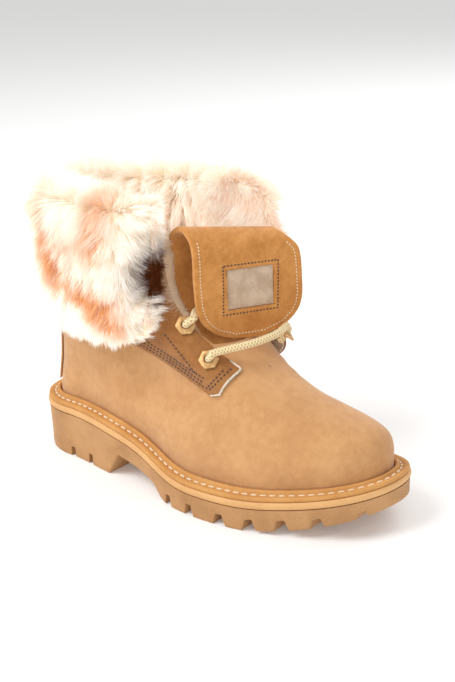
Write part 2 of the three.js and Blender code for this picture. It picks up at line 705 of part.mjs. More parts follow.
// Tongue: a strip that rises from under the vamp, folds forward and hangs as a flap with a rounded end.
// Along the strip: its middle in shares of the sole's length, of the tongue's width to the inner side and of
// the shaft's height, its share of the full twist, its two half widths and its crown in shares of the width.
const TONGUE = [
  { at: 0.0, ahead: 0.628, aside: 0.02, up: 0.365, twist: 0.0, outer: 0.14, inner: 0.14, crown: 0.08 },
  { at: 0.06, ahead: 0.588, aside: 0.03, up: 0.405, twist: 0.0, outer: 0.15, inner: 0.14, crown: 0.08 },
  { at: 0.13, ahead: 0.54, aside: 0.06, up: 0.46, twist: 0.1, outer: 0.2, inner: 0.17, crown: 0.05 },
  { at: 0.21, ahead: 0.507, aside: 0.1, up: 0.55, twist: 0.35, outer: 0.26, inner: 0.17, crown: 0.02 },
  { at: 0.32, ahead: 0.497, aside: 0.15, up: 0.7, twist: 0.9, outer: 0.36, inner: 0.3, crown: 0.0 },
  { at: 0.43, ahead: 0.505, aside: 0.2, up: 0.84, twist: 1.0, outer: 0.42, inner: 0.36, crown: 0.0 },
  { at: 0.49, ahead: 0.52, aside: 0.21, up: 0.895, twist: 1.0, outer: 0.46, inner: 0.32, crown: 0.0 },
  { at: 0.55, ahead: 0.56, aside: 0.18, up: 0.925, twist: 1.0, outer: 0.47, inner: 0.28, crown: 0.0 },
  { at: 0.61, ahead: 0.592, aside: 0.14, up: 0.895, twist: 1.0, outer: 0.46, inner: 0.33, crown: 0.0 },
  { at: 0.68, ahead: 0.6, aside: 0.13, up: 0.84, twist: 1.0, outer: 0.455, inner: 0.4, crown: 0.0 },
  { at: 0.77, ahead: 0.6, aside: 0.13, up: 0.72, twist: 1.0, outer: 0.455, inner: 0.425, crown: 0.0 },
  { at: 0.87, ahead: 0.597, aside: 0.13, up: 0.58, twist: 1.0, outer: 0.42, inner: 0.42, crown: 0.0 },
  { at: 0.95, ahead: 0.595, aside: 0.13, up: 0.495, twist: 1.0, outer: 0.3, inner: 0.3, crown: 0.0 },
  { at: 1.0, ahead: 0.594, aside: 0.13, up: 0.455, twist: 1.0, outer: 0.12, inner: 0.12, crown: 0.0 },
];
const TONGUE_ROWS = 24;
const TONGUE_COLUMNS = 6;

// A point of the strip's middle face: s from root to end, w from -1 at the outer edge to 1 at the inner.
function tonguePoint(s, w) {
  const row = (column) => along(TONGUE, column, s);
  const angle = THREE.MathUtils.degToRad(TONGUE_TWIST * row("twist"));
  const reach = w * (w < 0 ? row("outer") : row("inner")) * TONGUE_WIDTH;
  const droop = FOLD_DROOP * reach * Math.exp(-(((s - 0.55) / 0.1) ** 2));
  return new THREE.Vector3(
    xAt(row("ahead")) + reach * Math.sin(angle),
    row("aside") * TONGUE_WIDTH + reach * Math.cos(angle),
    upAt(row("up")) - row("crown") * TONGUE_WIDTH * w * w - droop,
  );
}

// The strip's normal, which points forward on the flap.
function tongueNormal(s, w) {
  const step = 1e-3;
  const lengthwise = tonguePoint(Math.min(s + step, 1), w).sub(tonguePoint(Math.max(s - step, 0), w));
  const across = tonguePoint(s, Math.min(w + 0.01, 1)).sub(tonguePoint(s, Math.max(w - 0.01, -1)));
  return lengthwise.cross(across).normalize();
}

function makeTongue() {
  const grid = (out) =>
    Array.from({ length: TONGUE_ROWS + 1 }, (unusedRow, r) =>
      Array.from({ length: TONGUE_COLUMNS + 1 }, (unused, c) => {
        const [s, w] = [r / TONGUE_ROWS, (2 * c) / TONGUE_COLUMNS - 1];
        return tonguePoint(s, w).addScaledVector(tongueNormal(s, w), out);
      }),
    );
  const front = grid(TONGUE_THICKNESS / 2);
  const back = grid(-TONGUE_THICKNESS / 2);
  const rings = front.map((row, r) => [
    ...row.map((point) => point.toArray()),
    ...back[r].map((point) => point.toArray()).reverse(),
  ]);
  const cap = pairCap(rings[0].length);
  return lofted(rings, cap, cap);
}

// A cap for a ring made of two equally long rows, one out and one back.
function pairCap(count) {
  return (base) =>
    Array.from({ length: count / 2 - 1 }, (unused, i) => {
      const [a, b, c, d] = [i, i + 1, count - 2 - i, count - 1 - i].map((k) => base + k);
      return [
        [a, b, c],
        [a, c, d],
      ];
    }).flat();
}

// The flap's window, and the plain patch that fills it
const WINDOW_AT = 0.795; // its middle, along the tongue
const WINDOW_WIDTH = 32;
const WINDOW_HEIGHT = 27;
const WINDOW_DEPTH = 1.5;
const PATCH_THICKNESS = 0.9;

function windowBox(width, height, from, to) {
  const centre = tonguePoint(WINDOW_AT, 0);
  const normal = tongueNormal(WINDOW_AT, 0);
  const across = new THREE.Vector3(0, 0, 1).cross(normal).normalize();
  const made = new THREE.BoxGeometry(width, height, to - from);
  made.translate(0, 0, (from + to) / 2);
  const up = normal.clone().cross(across);
  made.applyMatrix4(new THREE.Matrix4().makeBasis(across, up, normal).setPosition(centre));
  return solidOf(made);
}

// Fur cuff: the folded shaft. A hooked section runs round the back of the leg, with a long outer leg over the
// leather, a roll over its top and a short inner leg. along gives the places where both ends of the cuff lie.
const CUFF_ENDS = [
  { at: 0.0, outer: 0.43, inner: 0.45 },
  { at: 0.5, outer: 0.432, inner: 0.465 },
  { at: 1.0, outer: 0.43, inner: 0.46 },
];
const CUFF_CLEAR = 2.5; // between the cuff and the leather or quarter under it
// How far the fur swells forward past the leather's front edges, down the outer leg, as a share of its depth.
const FRONT_SWELL = [
  { at: 0.0, outer: 0.5, inner: 2.7 },
  { at: 0.45, outer: 0.5, inner: 2.4 },
  { at: 0.8, outer: 0.8, inner: 0.7 },
  { at: 1.0, outer: 0.4, inner: 0.2 },
];
// Height of the fur's roll round the leg, from the outer end to the inner, as a share of ROLL_HEIGHT.
const ROLL = [
  { at: -1.0, height: 0.8 },
  { at: -0.6, height: 0.95 },
  { at: -0.2, height: 1.15 },
  { at: 0.3, height: 1.4 },
  { at: 0.65, height: 1.3 },
  { at: 1.0, height: 0.9 },
];
// The outer leg's lower edge round the leg, from the outer end to the inner, in shares of the shaft's height.
const CUFF_HEM = [
  { at: -1.0, up: 0.47 },
  { at: -0.8, up: 0.43 },
  { at: -0.55, up: 0.45 },
  { at: -0.25, up: 0.5 },
  { at: 0.0, up: 0.56 },
  { at: 0.4, up: 0.5 },
  { at: 0.8, up: 0.45 },
  { at: 1.0, up: 0.5 },
];
// Swellings and troughs of the fur: place round the leg and down the outer leg (0 at the top, 1 at the hem),
// their widths there, and their depth as a share of the fur's.
const LOBES = [
  { round: -0.92, down: 0.45, wide: 0.16, tall: 0.45, swell: 0.35 },
  { round: -0.35, down: 0.86, wide: 0.28, tall: 0.18, swell: 0.45 },
  { round: -0.62, down: 0.42, wide: 0.1, tall: 0.3, swell: -0.35 },
  { round: -0.3, down: 0.5, wide: 0.2, tall: 0.12, swell: -0.3 },
  { round: 0.1, down: 0.4, wide: 0.25, tall: 0.3, swell: 0.2 },
  { round: 0.5, down: 0.8, wide: 0.25, tall: 0.25, swell: 0.3 },
  { round: 0.92, down: 0.3, wide: 0.2, tall: 0.4, swell: 0.65 },
  { round: 0.0, down: 0.4, wide: 0.3, tall: 0.6, swell: -0.2 },
];
const CUFF_ROUND = 34; // stations round the leg
const LEG_STEPS = 6;
const ROLL_STEPS = 4;
const INNER_STEPS = 3;
const INNER_LEG = 0.3; // how far the fur's inner leg runs down the shaft, in rings
const CUFF_OVER = OVERLAY_GAP + OVERLAY_THICKNESS + CUFF_CLEAR; // from the upper's face to the cuff
const CUFF_INSIDE = 4 * GAP; // between the wall and the fur's inner leg
const HEM_ROUND = 0.3; // rounding of the hem, as a share of the outer leg's length
const END_THICKNESS = 0.25; // the cuff's ends, as a share of the fur's depth

function cuffTurn(s, rise) {
  const side = s < 0 ? OUTER : INNER;
  const end = along(CUFF_ENDS, side === OUTER ? "outer" : "inner", clamp((1 - rise) / 0.6, 0, 1));
  const [back] = ringEnds(rise);
  const x = mix(back, xAt(end), 1 - Math.cos((Math.PI / 2) * Math.abs(s)));
  return turnAt(x, side, rise);
}

function furDepth(s, down) {
  let share = 1;
  for (const { round, down: at, wide, tall, swell } of LOBES) {
    share += swell * Math.exp(-(((s - round) / wide) ** 2) - ((down - at) / tall) ** 2);
  }
  const ends = rounded((1.02 - Math.abs(s)) * SHAFT_WIDTH, FUR_DEPTH * 0.8);
  return FUR_DEPTH * share * mix(END_THICKNESS, 1, ends) * rounded(1.04 - down, HEM_ROUND);
}

// One hooked section: the chain that faces the leather, then the fur's own face back to the start.
function cuffSection(s) {
  const endward = FUR_DEPTH * smooth((Math.abs(s) - 0.7) / 0.3);
  const ahead = (down) => endward * along(FRONT_SWELL, s < 0 ? "outer" : "inner", down);
  const hemRise = riseAt(s, along(CUFF_HEM, "up", s));
  const facing = [];
  const outside = [];
  for (let i = 0; i <= LEG_STEPS; i += 1) {
    const down = 1 - i / LEG_STEPS;
    const rise = mix(1, hemRise, down);
    const turn = cuffTurn(s, rise);
    const lifted = CUFF_OVER + flapLift(turn, rise);
    facing.push(offFace(turn, rise, lifted));
    outside.push(offFace(turn, rise, lifted + furDepth(s, down)));
    outside.at(-1).x += ahead(down);
  }
  const turn = cuffTurn(s, 1);
  const middle = offFace(turn, 1, -WALL / 2);
  const outward = offFace(turn, 1, WALL).sub(offFace(turn, 1, 0)).setZ(0).normalize();
  const [outNear, inNear] = [CUFF_OVER + WALL / 2, CUFF_INSIDE + WALL / 2];
  const [outFar, inFar] = [outNear + furDepth(s, 0), inNear + FUR_LINING];
  for (let i = 1; i < ROLL_STEPS; i += 1) {
    const angle = (Math.PI * i) / ROLL_STEPS;
    const cos = Math.cos(angle);
    const [near, far] = cos > 0 ? [outNear, outFar] : [inNear, inFar];
    const rise = ROLL_HEIGHT * along(ROLL, "height", s) * Math.sin(angle) ** 0.7;
    const level = 2 * GAP + WALL * Math.sin(angle);
    facing.push(middle.clone().addScaledVector(outward, near * cos).setZ(middle.z + level));
    outside.push(middle.clone().addScaledVector(outward, far * cos).setZ(middle.z + rise));
    outside.at(-1).x += ahead(0) * Math.max(cos, 0);
  }
  for (let i = 0; i <= INNER_STEPS; i += 1) {
    const down = i / INNER_STEPS;
    const rise = 1 - INNER_LEG * down;
    const at = cuffTurn(s, rise);
    const thick = FUR_LINING * mix(1, 0.5, down);
    facing.push(offFace(at, rise, -WALL - CUFF_INSIDE));
    outside.push(offFace(at, rise, -WALL - CUFF_INSIDE - thick));
  }
  return [...facing, ...outside.reverse()].map((point) => point.toArray());
}

// The rise at which a station of the cuff passes a height.
function riseAt(s, up) {
  let [low, high] = [0.2, 1];
  for (let i = 0; i < 24; i += 1) {
    const middle = (low + high) / 2;
    if (upperFace(cuffTurn(s, middle), middle).z < upAt(up)) low = middle;
    else high = middle;
  }
  return low;
}

// A lock of fur: a tapered, bent tuft that starts inside the cuff and lies downwards. Along it: the share of
// its length, and the share of its full width there.
const LOCK_STAGES = [
  { at: -0.25, wide: 0.9 },
  { at: 0.5, wide: 0.95 },
  { at: 1.0, wide: 0.12 },
];
const LOCK_SIDES = 4;
const LOCK_OUT = 0.55; // how far a lock's tip stands out, as a share of its length
const LOCK_DOWN = 0.85; // how far it hangs, the same
const LOCK_FLAT = 0.6; // its thickness as a share of its width
const DOWN = new THREE.Vector3(0, 0, -1);

function makeLock(root, outward, length, width) {
  const side = outward.clone().cross(DOWN).normalize();
  const rings = LOCK_STAGES.map(({ at, wide }) => {
    const bend = Math.max(at, 0);
    const centre = root
      .clone()
      .addScaledVector(outward, length * at * LOCK_OUT)
      .addScaledVector(DOWN, length * bend ** 1.5 * LOCK_DOWN);
    const lead = outward.clone().multiplyScalar(Math.cos(bend)).addScaledVector(DOWN, Math.sin(bend));
    const lift = side.clone().cross(lead).normalize();
    const half = (width * wide) / 2;
    return Array.from({ length: LOCK_SIDES }, (unused, i) => {
      const angle = (2 * Math.PI * i) / LOCK_SIDES;
      return centre
        .clone()
        .addScaledVector(side, half * Math.cos(angle))
        .addScaledVector(lift, half * LOCK_FLAT * Math.sin(angle))
        .toArray();
    });
  });
  return lofted(rings, fanCap(LOCK_SIDES), fanCap(LOCK_SIDES));
}

// Rows of locks on the cuff: how far down the outer leg, how many, and their size as a share of LOCK_LENGTH.
const LOCK_ROWS = [
  { down: 0.12, count: 13, size: 0.75 },
  { down: 0.45, count: 14, size: 0.9 },
  { down: 0.72, count: 15, size: 1 },
  { down: 0.93, count: 17, size: 1.15 },
];

const LOCK_SPAN = 0.94; // how far round the leg the locks reach, to both sides
const LOCK_ROOT = 2.5; // how deep a lock's root lies in the cuff
const LOCK_WIDTH = 0.55; // width as a share of the length

function makeCuff() {
  const stations = Array.from({ length: CUFF_ROUND + 1 }, (unused, i) => (2 * i) / CUFF_ROUND - 1);
  const rings = stations.map(cuffSection);
  const cap = pairCap(rings[0].length);
  const pieces = [lofted(rings, cap, cap)];
  for (const { down, count, size } of LOCK_ROWS) {
    for (let i = 0; i < count; i += 1) {
      const s = LOCK_SPAN * ((2 * i + (pieces.length % 2)) / count - 1);
      const rise = mix(1, riseAt(s, along(CUFF_HEM, "up", s)), down);
      const turn = cuffTurn(s, rise);
      const face = offFace(turn, rise, CUFF_OVER + flapLift(turn, rise) + furDepth(s, down));
      const outward = face.clone().sub(offFace(turn, rise, 0)).normalize();
      const length = LOCK_LENGTH * size * (0.85 + 0.075 * ((i * 7) % 5));
      pieces.push(makeLock(face.addScaledVector(outward, -LOCK_ROOT), outward, length, LOCK_WIDTH * length));
    }
  }
  return wasm.Manifold.union(pieces);
}

const group = new THREE.Group();
function add(name, solid, colour, roughness, metalness = 0) {
  const { vertProperties, triVerts } = solid.getMesh();
  const geometry = new THREE.BufferGeometry();
  geometry.setAttribute("position", new THREE.BufferAttribute(new Float32Array(vertProperties), 3));
  geometry.setIndex(new THREE.BufferAttribute(new Uint32Array(triVerts), 1));
  geometry.computeVertexNormals();
  const mesh = new THREE.Mesh(
    geometry,
    new THREE.MeshStandardMaterial({ color: colour, roughness, metalness }),
  );
  mesh.name = name;
  group.add(mesh);
}

add("outsole", makeOutsole(), "#b98a58", 0.75);
add("midsole", makeMidsole(), "#ecc589", 0.6);
add("welt", makeWelt(), "#e0a45c", 0.6);
add("insole", makeInsole(), "#e7dccb", 0.95);

const BORE_DEPTH = 8; // through the quarter and the upper, on the outer side
const FLAP_BORE_DEPTH = 5; // through the open quarter only
let upper = shell(-WALL, 0).subtract(throatCutter(THROAT));
let quarterOuter = makeQuarter(OUTER);
let quarterInner = makeQuarter(INNER);
for (const eyelet of EYELETS) {
  if (eyelet.side === OUTER) {
    upper = upper.subtract(eyeletBore(eyelet, BORE_DEPTH));
    quarterOuter = quarterOuter.subtract(eyeletBore(eyelet, BORE_DEPTH));
  } else {
    quarterInner = quarterInner.subtract(eyeletBore(eyelet, FLAP_BORE_DEPTH));
  }
}
add("upper", upper, "#c6955f", 0.9);
add("quarter_outer", quarterOuter, "#bd8950", 0.9);
add("quarter_inner", quarterInner, "#bd8950", 0.9);
add("heel_counter", makeCounter(), "#c08f58", 0.9);
for (const eyelet of EYELETS) add(eyelet.name, makeEyelet(eyelet), "#c9a25c", 0.45, 0.6);
const [outerLow, outerHigh, innerLow, innerHigh] = EYELETS;
add("lace_low", makeBar(outerLow, innerLow, LOW_BAR), "#ead9a4", 0.85);
add("lace_high", makeBar(outerHigh, innerHigh, HIGH_BAR), "#ead9a4", 0.85);

const faceOut = TONGUE_THICKNESS / 2;
const recess = windowBox(WINDOW_WIDTH, WINDOW_HEIGHT, faceOut - WINDOW_DEPTH, faceOut + BELOW);
add("tongue", makeTongue().subtract(recess), "#d18f45", 0.85);
const floorOut = faceOut - WINDOW_DEPTH + GAP;
const [patchWidth, patchHeight] = [WINDOW_WIDTH - 2 * GAP, WINDOW_HEIGHT - 2 * GAP];
const patch = windowBox(patchWidth, patchHeight, floorOut, floorOut + PATCH_THICKNESS);
add("tongue_patch", patch, "#a8a08f", 0.95);
add("fur_cuff", makeCuff(), "#f3ebdf", 1.0);

export default group;
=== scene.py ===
# %% [markdown]
# # A right winter boot with a fur cuff
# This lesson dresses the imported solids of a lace-up nubuck boot. The boot stands on a lugged rubber sole.
# Its shaft is folded down, so that the fur lining shows as a deep cuff, and its wide tongue hangs forward
# over the laces. Every shape is worked out with numpy from a few tables, in millimetres, and put into a
# Blender mesh.

import bmesh
import bpy
import numpy as np
from mathutils import Matrix


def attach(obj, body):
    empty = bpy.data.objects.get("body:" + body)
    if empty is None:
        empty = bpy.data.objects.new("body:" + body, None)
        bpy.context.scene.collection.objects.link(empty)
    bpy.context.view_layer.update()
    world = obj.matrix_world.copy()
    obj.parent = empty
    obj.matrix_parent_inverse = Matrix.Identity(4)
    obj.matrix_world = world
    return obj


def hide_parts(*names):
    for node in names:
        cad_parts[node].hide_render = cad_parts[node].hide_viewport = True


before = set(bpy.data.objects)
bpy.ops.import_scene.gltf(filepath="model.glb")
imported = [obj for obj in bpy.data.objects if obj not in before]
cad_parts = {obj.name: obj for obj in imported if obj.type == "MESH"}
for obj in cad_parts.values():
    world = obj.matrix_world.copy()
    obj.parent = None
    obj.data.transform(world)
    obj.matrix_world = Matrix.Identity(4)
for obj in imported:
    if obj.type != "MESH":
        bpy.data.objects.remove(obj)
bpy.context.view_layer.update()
MM = 0.001
random = np.random.default_rng(20)

# %% [markdown]
# ## The camera
# The photograph was taken from the boot's outer side, a little in front and a little above. The camera
# comes first, so that every piece can be looked at from the same place. Its numbers come from fitting the
# outline of the sole to the photograph: a turn and a tilt, a distance, the length of the lens and a small
# shift.

# %% Place the camera
AZIMUTH, ELEVATION, ROLL = np.radians([41.12, 21.8, -2.42])
DISTANCE = 857.88
TARGET = np.array([112.0, 0.0, 60.0])
FOCAL_PIXELS = 1285.47
PRINCIPAL_POINT = (215.6, 397.04)
FRAME_SIZE = (455, 682)
SENSOR = 36.0

backward = np.array(
    [
        np.sin(AZIMUTH) * np.cos(ELEVATION),
        -np.cos(AZIMUTH) * np.cos(ELEVATION),
        np.sin(ELEVATION),
    ]
)
level = np.array([np.cos(AZIMUTH), np.sin(AZIMUTH), 0.0])
upright = np.cross(backward, level)
right = np.cos(ROLL) * level + np.sin(ROLL) * upright
up = -np.sin(ROLL) * level + np.cos(ROLL) * upright

camera_data = bpy.data.cameras.new("camera")
camera_data.sensor_fit = "AUTO"
camera_data.sensor_width = SENSOR
camera_data.lens = FOCAL_PIXELS / FRAME_SIZE[1] * SENSOR
camera_data.shift_x = (FRAME_SIZE[0] / 2 - PRINCIPAL_POINT[0]) / FRAME_SIZE[1]
camera_data.shift_y = (PRINCIPAL_POINT[1] - FRAME_SIZE[1] / 2) / FRAME_SIZE[1]
camera_data.clip_start = 0.01
camera = bpy.data.objects.new("camera", camera_data)
place = np.eye(4)
place[:3, 0], place[:3, 1], place[:3, 2] = right, up, backward
place[:3, 3] = (TARGET + backward * DISTANCE) * MM
camera.matrix_world = Matrix(place.tolist())
bpy.context.scene.collection.objects.link(camera)
bpy.context.scene.camera = camera
print("camera lens", round(camera_data.lens, 2), "mm")

# %% [markdown]
# ## Tables and smooth curves
# A shoemaker's last has no simple formula, but it is smooth between a few measured places. So each form is
# a table with named columns, and a smooth curve runs through its rows. These are the same tables as the
# solids have, which is why the finer surfaces lie on them.

# %% Curves through tables
def table(names, *rows):
    """Named columns out of rows of numbers."""
    return dict(zip(names.split(), np.array(rows, float).T))


def mix(a, b, share):
    """a where share is 0, b where it is 1, and a straight line between."""
    return a + (b - a) * share


def smooth(value):
    """3s^2 - 2s^3 with s kept between 0 and 1."""
    s = np.clip(value, 0, 1)
    return s * s * (3 - 2 * s)


def rounded(distance, radius, power=2):
    """A rounded end: 0 at the tip, 1 from the radius on, by 1 - (1 - d/r)^p to the power 1/p."""
    return (1 - (1 - np.clip(distance / radius, 0, 1)) ** power) ** (1 / power)


def along(rows, column, at):
    """Cubic curve through a table's rows, with each row's slope taken from the rows beside it."""
    places, values = rows["at"], rows[column]
    ends = np.diff(values)[[0, -1]] / np.diff(places)[[0, -1]]
    slopes = np.concatenate([ends[:1], (values[2:] - values[:-2]) / (places[2:] - places[:-2]), ends[1:]])
    k = np.searchsorted(places[1:-1], at, side="left")
    span = places[k + 1] - places[k]
    s = np.clip((at - places[k]) / span, 0, 1)
    s2, s3 = s * s, s * s * s
    return (
        (2 * s3 - 3 * s2 + 1) * values[k]
        + (s3 - 2 * s2 + s) * span * slopes[k]
        + (3 * s2 - 2 * s3) * values[k + 1]
        + (s3 - s2) * span * slopes[k + 1]
    )


def straight(rows, column, at):
    """Straight lines through a table's rows."""
    return np.interp(at, rows["at"], rows[column])


def unit(vectors):
    """The same directions with a length of one."""
    return vectors / np.maximum(np.linalg.norm(vectors, axis=-1, keepdims=True), 1e-12)


# %% Sizes, in millimetres
SOLE_LENGTH = 290
HEEL_CENTRE = 38
HEEL_WIDTH = 73
WAIST_WIDTH = 73
BALL_WIDTH = 104
TOE_DRIFT = 9
HEEL_HEIGHT = 38
BALL_HEIGHT = 21
TOE_LIFT = 14
TOE_SPRING = 20
MIDSOLE_THICKNESS = 5
MIDSOLE_PROUD = 0.7
OUTSOLE_DRAFT = 1.2
LUG_DEPTH = 8
WELT_WIDTH = 9
SHAFT_HEIGHT = 146
SHAFT_WIDTH = 67
SHAFT_TAIL = 46
SHAFT_NOSE = 48
SPLAY = 22
WALL = 2.4
OVERLAY_THICKNESS = 1.6
COUNTER_THICKNESS = 1.3
INSOLE_THICKNESS = 4
GAP = 0.35
OVERLAY_GAP = 0.5
THROAT_WIDTH = 44
EYELET_WIDTH = 12
EYELET_THICKNESS = 1.2
EYELET_HOLE = 6
EYELET_SEAT = 0.8
LACE = 5
TONGUE_THICKNESS = 3.6
TONGUE_WIDTH = 82
FOLD_DROOP = 0.12
TONGUE_TWIST = 30
FUR_DEPTH = 11
FUR_LINING = 8
ROLL_HEIGHT = 17
OUTER, INNER = -1, 1
FEATHER = WELT_WIDTH + 2 * GAP
print("sole", SOLE_LENGTH, "mm long, shaft", HEEL_HEIGHT + SHAFT_HEIGHT, "mm high")

# %% [markdown]
# ## Building a mesh from arrays
# Every piece below ends as an array of points and one of faces. A small builder puts them into a mesh,
# welds the points that fall together, turns all faces outwards, and hands the piece to the boot's body.

# %% Mesh helpers
def grid_faces(rows, columns, wrap=False):
    """Squares between neighbours of a grid of points. wrap joins the last column to the first."""
    count = columns if wrap else columns - 1
    r, c = np.meshgrid(np.arange(rows - 1), np.arange(count), indexing="ij")
    n = (c + 1) % columns
    squares = [r * columns + c, r * columns + n, (r + 1) * columns + n, (r + 1) * columns + c]
    return np.stack(squares, -1).reshape(-1, 4)


def ring_faces(rings, around):
    """Squares of a section that closes on itself: between its rings, and from the last back to the first."""
    first = np.arange(around)
    last = first + (rings - 1) * around
    closing = np.stack([last, np.roll(last, -1), np.roll(first, -1), first], -1)
    return np.concatenate([grid_faces(rings, around, wrap=True), closing])


def fill_mesh(mesh, points, faces):
    """Writes points in millimetres, and faces given as arrays of triangles or squares, into a mesh."""
    sizes = np.concatenate([np.full(len(f), f.shape[1]) for f in faces])
    corners = np.concatenate([f.ravel() for f in faces])
    mesh.vertices.add(len(points))
    mesh.vertices.foreach_set("co", (np.asarray(points, float) * MM).ravel())
    mesh.loops.add(len(corners))
    mesh.loops.foreach_set("vertex_index", corners.astype(np.int32))
    mesh.polygons.add(len(sizes))
    starts = np.concatenate([[0], np.cumsum(sizes)[:-1]])
    mesh.polygons.foreach_set("loop_start", starts.astype(np.int32))
    mesh.update(calc_edges=True)


def put(name, points, faces, material, slot, replaces=(), weld=True, sharp=None, values=None):
    """Makes a piece of the boot. sharp is the angle in degrees from which an edge stays crisp. values are
    numbers for each point, kept as attributes for the material."""
    mesh = bpy.data.meshes.new(name)
    faces = faces if isinstance(faces, list) else [faces]
    fill_mesh(mesh, points.reshape(-1, 3), faces)
    for key, numbers in (values or {}).items():
        layer = mesh.attributes.new(key, "FLOAT", "POINT")
        layer.data.foreach_set("value", np.asarray(numbers, np.float32).ravel())
    if weld:
        loose = bmesh.new()
        loose.from_mesh(mesh)
        bmesh.ops.remove_doubles(loose, verts=loose.verts, dist=1e-6)
        bmesh.ops.recalc_face_normals(loose, faces=loose.faces)
        loose.to_mesh(mesh)
        loose.free()
    mesh.shade_smooth()
    if sharp:
        mesh.set_sharp_from_angle(angle=np.radians(sharp))
    mesh.materials.append(material)
    piece = bpy.data.objects.new(name, mesh)
    bpy.context.scene.collection.objects.link(piece)
    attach(piece, "root")
    if replaces:
        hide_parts(*replaces)
    print(name, len(mesh.vertices), "points,", len(mesh.polygons), "faces")
    return piece


def slab(outer, inner, bulge):
    """A closed sheet between two grids of points. Its rim bulges in a half circle: from one grid to the
    other by (1 - cos)/2 of the angle, and outwards by its sine."""
    rows, columns = outer.shape[:2]
    rows_up, columns_up = np.arange(rows - 1), np.arange(columns - 1)
    r = [np.zeros_like(columns_up), rows_up, np.full_like(columns_up, rows - 1), rows_up[::-1] + 1]
    c = [columns_up, np.full_like(rows_up, columns - 1), columns_up[::-1] + 1, np.zeros_like(rows_up)]
    r, c = np.concatenate(r), np.concatenate(c)
    inward_r = np.clip(r, 1, rows - 2)
    inward_c = np.clip(c, 1, columns - 2)
    away = unit(outer[r, c] - outer[inward_r, inward_c] + inner[r, c] - inner[inward_r, inward_c])
    loops = [
        mix(outer[r, c], inner[r, c], (1 - np.cos(angle)) / 2) + away * bulge * np.sin(angle)
        for angle in np.pi * np.array([0.25, 0.5, 0.75])
    ]
    sheet = rows * columns
    points = np.concatenate([outer.reshape(-1, 3), inner.reshape(-1, 3), *loops])
    rings = [r * columns + c]
    rings += [2 * sheet + k * len(r) + np.arange(len(r)) for k in range(3)]
    rings += [sheet + r * columns + c]
    faces = [grid_faces(rows, columns), grid_faces(rows, columns)[:, ::-1] + sheet]
    for low, high in zip(rings[:-1], rings[1:]):
        faces.append(np.stack([low, high, np.roll(high, -1), np.roll(low, -1)], -1))
    return points, np.concatenate(faces)


# %% [markdown]
# ## Writing shader maths as Python
# A procedural finish is mostly arithmetic on masks and noise. Wrapping a node's output in a small class
# lets the sums be written as sums, and one method adds any other node.

# %% The shader helper
class Value:
    """An output of a node that can be used in sums, such as 1 - mask * 0.5."""

    def __init__(self, finish, output):
        self.finish = finish
        self.output = output

    def maths(self, operation, first, second):
        return self.finish.node("ShaderNodeMath", {"operation": operation}, {0: first, 1: second})

    def __add__(self, other):
        return self.maths("ADD", self, other)

    def __sub__(self, other):
        return self.maths("SUBTRACT", self, other)

    def __rsub__(self, other):
        return self.maths("SUBTRACT", other, self)

    def __mul__(self, other):
        return self.maths("MULTIPLY", self, other)

    __radd__ = __add__
    __rmul__ = __mul__


def colour(red, green, blue):
    """A colour as the screen shows it, 0 to 255, turned into the linear light that Blender counts in."""
    seen = np.array([red, green, blue]) / 255
    light = np.where(seen <= 0.04045, seen / 12.92, ((seen + 0.055) / 1.055) ** 2.4)
    return (*light.tolist(), 1.0)


class Finish:
    """A material with a Principled shader. Constants are set straight on its sockets, and a number, a colour
    or a Value can be fed to a socket."""

    def __init__(self, name, **constants):
        self.material = bpy.data.materials.new(name)
        self.material.use_nodes = True
        self.tree = self.material.node_tree
        self.shader = self.tree.nodes["Principled BSDF"]
        for key, value in constants.items():
            self.shader.inputs[key.replace("_", " ").title().replace("Ior", "IOR")].default_value = value

    def feed(self, socket, value):
        """A link from a Value, or the constant itself."""
        if isinstance(value, Value):
            self.tree.links.new(value.output, socket)
        else:
            socket.default_value = value

    def node(self, kind, settings=None, sockets=None, output=0):
        """Any node: its settings first, then what its sockets hold, and which of its outputs is wanted."""
        made = self.tree.nodes.new(kind)
        for key, value in (settings or {}).items():
            setattr(made, key, value)
        for key, value in (sockets or {}).items():
            self.feed(made.inputs[key], value)
        return Value(self, made.outputs[output])

    def place(self):
        return self.node("ShaderNodeTexCoord", output="Object")

    def noise(self, size, detail=3.0, roughness=0.55):
        """Noise between 0 and 1 with blotches of about this size in millimetres."""
        scale = 1 / (size * MM)
        sockets = {"Vector": self.place(), "Scale": scale, "Detail": detail, "Roughness": roughness}
        return self.node("ShaderNodeTexNoise", {}, sockets)

    def attribute(self, name):
        return self.node("ShaderNodeAttribute", {"attribute_name": name}, output="Fac")

    def ramp(self, value, low, high):
        """0 below low, 1 above high, and smooth between."""
        settings = {"interpolation_type": "SMOOTHSTEP"}
        return self.node("ShaderNodeMapRange", settings, {0: value, 1: low, 2: high, 3: 0.0, 4: 1.0})

    def blend(self, share, first, second):
        """The first colour where share is 0 and the second where it is 1."""
        return self.node("ShaderNodeMix", {"data_type": "RGBA"}, {0: share, 6: first, 7: second}, output=2)

    def bump(self, height, strength, distance):
        """Height 0 to 1 stands for a relief of this distance in millimetres."""
        sockets = {"Height": height, "Strength": strength, "Distance": distance * MM}
        self.feed(self.shader.inputs["Normal"], self.node("ShaderNodeBump", {}, sockets))

    def wear(self, **links):
        """Feeds the shader's sockets, named as words, and gives the finished material."""
        for key, value in links.items():
            self.feed(self.shader.inputs[key.replace("_", " ").title()], value)
        return self.material


# %% [markdown]
# ## Nubuck and the tongue's leather
# Nubuck is leather with a sanded, velvety face. It has no gloss, its colour drifts in soft clouds where
# the nap lies one way or the other, and a very fine grain shows close up. Two sizes of noise make the
# clouds, a third the grain, and a little sheen stands for the nap.

